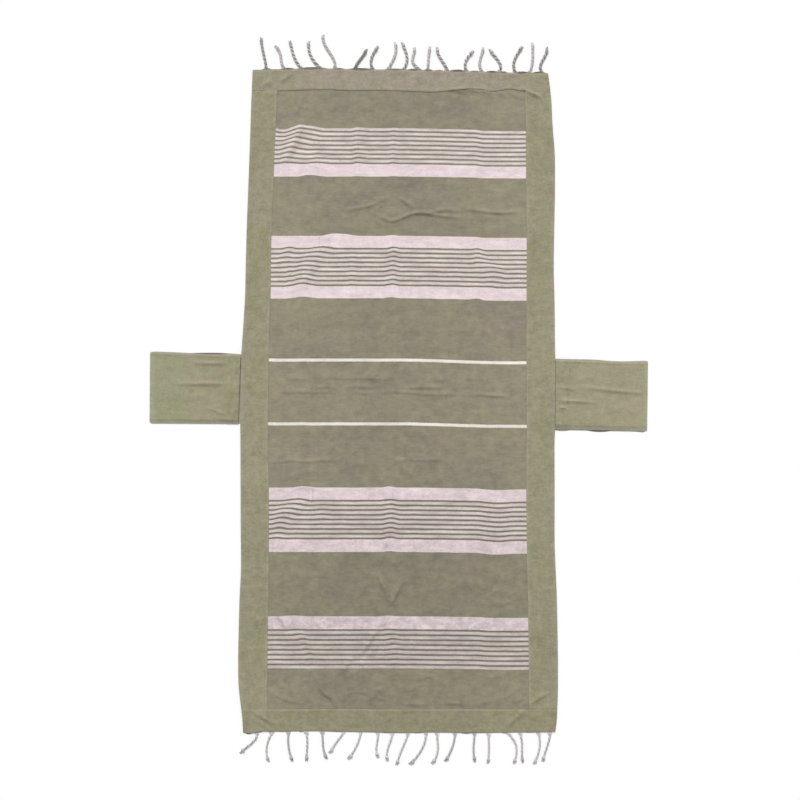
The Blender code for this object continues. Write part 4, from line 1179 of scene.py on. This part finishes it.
nearStrands = [
    (-0.414, 0.057, -0.049, 0.011, 0.005, "slate", "pink"),
    (-0.368, 0.082, -0.010, -0.010, -0.009, "grey", "pale"),
    (-0.321, 0.081, 0.013, -0.005, -0.005, "grey", "slate"),
    (-0.270, 0.081, 0.003, 0.003, 0.001, "slate", "pale"),
    (-0.223, 0.075, 0.015, -0.003, -0.005, "slate", "grey"),
    (-0.158, 0.058, -0.043, -0.003, -0.002, "grey", "pink"),
    (-0.110, 0.074, -0.037, 0.005, 0.005, "pale", "grey"),
    (-0.060, 0.068, 0.002, -0.003, -0.006, "grey", "pale"),
    (-0.018, 0.076, -0.014, -0.003, -0.006, "grey", "pink"),
    (0.028, 0.087, -0.033, -0.001, -0.002, "pale", "grey"),
    (0.080, 0.089, -0.049, 0.011, 0.010, "slate", "pale"),
    (0.111, 0.086, -0.015, 0.009, 0.011, "grey", "pale"),
    (0.164, 0.078, -0.028, 0.006, 0.005, "slate", "grey"),
    (0.222, 0.078, 0.001, -0.003, -0.004, "grey", "slate"),
    (0.262, 0.083, -0.002, 0.002, 0.002, "pale", "grey"),
    (0.318, 0.085, 0.018, 0.017, 0.012, "grey", "pink"),
    (0.354, 0.082, 0.008, 0.003, 0.000, "slate", "pink"),
    (0.408, 0.087, -0.015, 0.009, 0.008, "grey", "pale"),
    (0.442, 0.080, -0.022, 0.002, 0.000, "slate", "pale"),
]
yarnNames = list(yarns)


def strandLine(strand, edge, outwards):  # the middle of a strand, at a part of its reach
    x0, reach, lean, firstStray, secondStray = strand[:5]
    y0 = float(edge(x0)) + outwards * (0.0003 + fringeSettings["header"])
    a, b = fringeSettings["bends"]

    def at(f):
        first = f * (f - b) * (f - 1) / (a * (a - b) * (a - 1))
        second = f * (f - a) * (f - 1) / (b * (b - a) * (b - 1))
        x = x0 + lean * f + firstStray * first + secondStray * second
        z = fringeSettings["low"] + fringeSettings["rise"] * float(ease(f / fringeSettings["grown"]))
        return Vector((x, y0 + outwards * reach * f, z))

    return at


def addYarn(curve, points, radii, yarn):
    spline = curve.splines.new("POLY")
    spline.points.add(len(points) - 1)
    for spot, place, radius in zip(spline.points, points, radii):
        height = max(place[2], radius + 0.0001)  # never under the floor
        spot.co = (place[0], place[1], height, 1.0)
        spot.radius = radius
    spline.material_index = yarnNames.index(yarn)
    spline.use_smooth = True


def addStrand(curve, strand, edge, outwards, thick):
    own = fringeSettings
    reach = strand[1]
    pair = strand[5:]
    line = strandLine(strand, edge, outwards)
    up = Vector((0, 0, 1))

    def across(f):
        way = (line(f + 0.01) - line(f - 0.01)).normalized()
        return way, way.cross(up).normalized()

    stop = 1 - own["knotTo"] / reach
    count = round(reach * stop / own["turn"] * own["stepsPerTurn"])
    phase = chance.uniform(0, math.tau)
    for k, yarn in enumerate(pair):
        points, radii = [], []
        for i in range(count + 1):
            f = stop * i / count
            angle = math.tau * reach * f / own["turn"] + math.pi * k + phase
            swell = 1 + 0.10 * noise.noise(Vector((strand[0] * 50, reach * f * 160, k * 7)))
            grown = float(ease(f / own["grown"]))
            loose = own["spread"] * swell * thick
            rise = loose * (0.25 + 0.70 * grown)
            side = across(f)[1]
            points.append(line(f) + side * loose * math.cos(angle) + up * rise * math.sin(angle))
            radii.append(own["ply"] * thick * min(swell, 1.06) * (0.60 + 0.40 * grown))
        addYarn(curve, points, radii, yarn)

    # warp yarns that gather from the cloth's end into the strand
    half = (own["gathered"] - 1) / 2
    for k in range(own["gathered"]):
        off = (k - half) / half * chance.uniform(*own["gatherReach"])
        root = Vector((strand[0] + off, float(edge(strand[0] + off)) + outwards * 0.0004, own["warpYarn"]))
        meet = line(0.10 + 0.02 * (k % 3))
        points = []
        for t in (0, 0.2, 0.4, 0.6, 0.8, 1.0):
            bow = math.sin(math.pi * t)
            points.append(root.lerp(meet, t) + Vector((off * 0.25 * bow, 0, 0.0004 * bow)))
        addYarn(curve, points, [own["warpYarn"]] * len(points), pair[k % 2])

    # the knot: one and a half turns of each ply round the strand, leaning a little
    knotStart = 1 - own["knotFrom"] / reach
    tilt = chance.uniform(-own["knotTilt"], own["knotTilt"])
    for k, yarn in enumerate(pair):
        points = []
        for i in range(19):
            t = i / 18
            f = knotStart + (stop - knotStart) * (0.22 + 0.56 * t)
            way, side = across(f)
            angle = math.tau * 1.5 * t + math.pi * k + phase
            middle = line(f)
            middle.z = own["knotUp"] + own["knotPly"] + 0.0002
            leaning = middle + way * tilt * math.cos(angle)
            points.append(leaning + side * own["knotAcross"] * math.cos(angle)
                          + up * own["knotUp"] * math.sin(angle))
        addYarn(curve, points, [own["knotPly"]] * len(points), yarn)

    # the loose yarn ends past the knot
    way, side = across(stop)
    start = line(stop - 0.02)
    for k in range(own["brush"]):
        fan = chance.uniform(-1, 1)
        rise = chance.uniform(0.0, 1.0)
        long = own["knotTo"] + reach * 0.02 + chance.uniform(-0.0012, 0.0030)
        points = []
        for t in (0, 0.25, 0.5, 0.75, 1.0):
            place = start + way * (long * t) + side * fan * (0.0020 + 0.0022 * t ** 0.8)
            place.z = 0.0008 + (0.0012 + 0.0030 * rise) * (1 - t * 0.75)
            points.append(place)
        addYarn(curve, points, own["brushYarns"], pair[k % 2])


def fringe(name, node, strands, edge, outwards, thick):
    curve = bpy.data.curves.new(name + "Yarn", "CURVE")
    curve.dimensions = "3D"
    curve.bevel_depth = 1.0
    curve.bevel_resolution = 1
    curve.use_fill_caps = True
    for yarn in yarns.values():
        curve.materials.append(yarn)
    for strand in strands:
        addStrand(curve, strand, edge, outwards, thick)
    drawn = bpy.data.objects.new(name + "Drawn", curve)
    bpy.context.scene.collection.objects.link(drawn)
    bpy.context.view_layer.update()
    solid = drawn.evaluated_get(bpy.context.evaluated_depsgraph_get())
    mesh = bpy.data.meshes.new_from_object(solid)
    mesh.name = name
    bpy.data.objects.remove(drawn)
    shadeSmooth(mesh)
    return finishPiece(newPiece(name, mesh), "fringe_yarn", node)


# where the raw end edge shows past the border strip: start, stop, and by how much
farHeaderMarks = [
    (-0.440, -0.434, 0.0006), (-0.424, -0.392, 0.0036), (-0.368, -0.320, 0.0036), (-0.318, -0.218, 0.0040),
    (-0.208, -0.166, 0.0030), (-0.158, -0.074, 0.0040), (-0.047, 0.023, 0.0030), (0.026, 0.068, 0.0034),
    (0.078, 0.106, 0.0038), (0.112, 0.138, 0.0022), (0.156, 0.211, 0.0042), (0.220, 0.254, 0.0026),
    (0.269, 0.312, 0.0040), (0.310, 0.338, 0.0034), (0.358, 0.410, 0.0042), (0.412, 0.458, 0.0044),
]
nearHeaderMarks = [
    (-0.450, -0.426, 0.0030), (-0.415, -0.396, 0.0028), (-0.350, -0.322, 0.0014), (-0.292, -0.276, 0.0026),
    (-0.200, -0.150, 0.0012), (-0.050, -0.020, 0.0014), (0.040, 0.075, 0.0016), (0.180, 0.214, 0.0026),
    (0.300, 0.326, 0.0028), (0.370, 0.400, 0.0012),
]


def rawEndFinish(name, pale, dark):  # painted shade: darker where more of it shows, standing in for the shadow at the cloth's end
    f = Finish(name, "flatCloth")
    fleck = f.noise(240, 0, 6.0, 3.0, rough=0.7)
    shade = (f.v * 1.3 - 0.2 + (fleck - 0.5) * 1.6).clamped()
    return f.done(f.mixed(shade, pale, dark), 0.95, fleck, 0.0004, 0.6)


headerSettings = {
    "thickness": 0.0006,
    "least": 0.0005,      # how far the raw end shows where no row says more
    "shows": 0.004,       # where it is at its darkest
    "ragged": 0.25,
}


def header(name, marks, edge, outwards, inset, material):  # the cloth's raw end edge
    own = headerSettings
    across = spacing((marks[0][0] - 0.004, marks[-1][1] + 0.002, 280))
    depth = spacing((0.0, 1.0, 4))

    def face(u, v):
        rough = 1 + own["ragged"] * roughAt(u, np.full(len(u), outwards), 260, 4, 2)
        deep = (own["least"] + shownAt(u, marks, 0.4)) * rough + inset
        y = edge(u) + outwards * (0.0004 - inset + deep * v)
        inside = ease((edge(u) * outwards - y * outwards) / 0.002)
        return u, y, 0.0012 - 0.0004 * v + (lieAt(u, y) + cloth["top"] - 0.0008) * inside

    def pattern(u, v, x, y):
        return x, shownAt(u, marks, 0.4) / own["shows"]

    piece = sheetPiece(name, across, depth, face, pattern, material, own["thickness"])
    return finishPiece(piece, "fringe_yarn")


# the raw ends are painted dark as shade, most where they show furthest
farEndCloth = rawEndFinish("farEndCloth", paint(176, 167, 156), paint(98, 84, 82))
nearEndCloth = rawEndFinish("nearEndCloth", paint(170, 164, 146), paint(118, 110, 98))
farFringe = fringe("fringeFar", "fringe_top", farStrands, endLines[3], 1, 1.50)
nearFringe = fringe("fringeNear", "fringe_bottom", nearStrands, endLines[0], -1, 1.08)
farHeader = header("endEdgeFar", farHeaderMarks, endLines[3], 1, cloth["farInset"], farEndCloth)
nearHeader = header("endEdgeNear", nearHeaderMarks, endLines[0], -1, 0.0, nearEndCloth)
print("fringes twisted and knotted")


# each pocket's width and folded length, worked out but not kept
for (piece, face, foldEnd, length, half), sewing in zip(pockets, pocketStitches):
    half * 2
    2 * length + 0.030


floorGrid = bmesh.new()
bmesh.ops.create_grid(floorGrid, x_segments=1, y_segments=1, size=14.0)
floorMesh = bpy.data.meshes.new("floor")
floorGrid.to_mesh(floorMesh)
floorGrid.free()
floor = newPiece("floor", floorMesh, floorFinish())

lightSettings = {
    "sky": 0.50,
    "key": {"power": 2.50, "spread": 22.0, "height": 42.0, "leftOfFar": 8.0},  # the last three in degrees
}
world = bpy.data.worlds.new("studio")
world.use_nodes = True
sky = world.node_tree.nodes["Background"]
sky.inputs["Color"].default_value = (1.0, 1.0, 1.0, 1.0)
sky.inputs["Strength"].default_value = lightSettings["sky"]
bpy.context.scene.world = world
lamp = bpy.data.lights.new("key", "SUN")
keySettings = lightSettings["key"]
lamp.energy = keySettings["power"]
lamp.angle = math.radians(keySettings["spread"])
key = bpy.data.objects.new("key", lamp)
key.location = (0.0, 2.0, 2.0)
key.rotation_euler = (math.radians(keySettings["height"] - 90), 0.0, math.radians(keySettings["leftOfFar"]))
bpy.context.scene.collection.objects.link(key)
bpy.context.scene.view_settings.view_transform = "Standard"

cameraSettings = {"aim": (0.0045, -0.02515, 0.0), "away": 3.3058, "lean": 5.649, "lens": 49.5}
eye = bpy.data.cameras.new("camera")
eye.lens = cameraSettings["lens"]
eye.sensor_width = 36.0
camera = bpy.data.objects.new("camera", eye)
lean = math.radians(cameraSettings["lean"])
fromAim = Vector((0, -math.sin(lean), math.cos(lean))) * cameraSettings["away"]
camera.location = Vector(cameraSettings["aim"]) + fromAim
camera.rotation_euler = (lean, 0.0, 0.0)
bpy.context.scene.collection.objects.link(camera)
bpy.context.scene.camera = camera
print("floor, light and camera set")
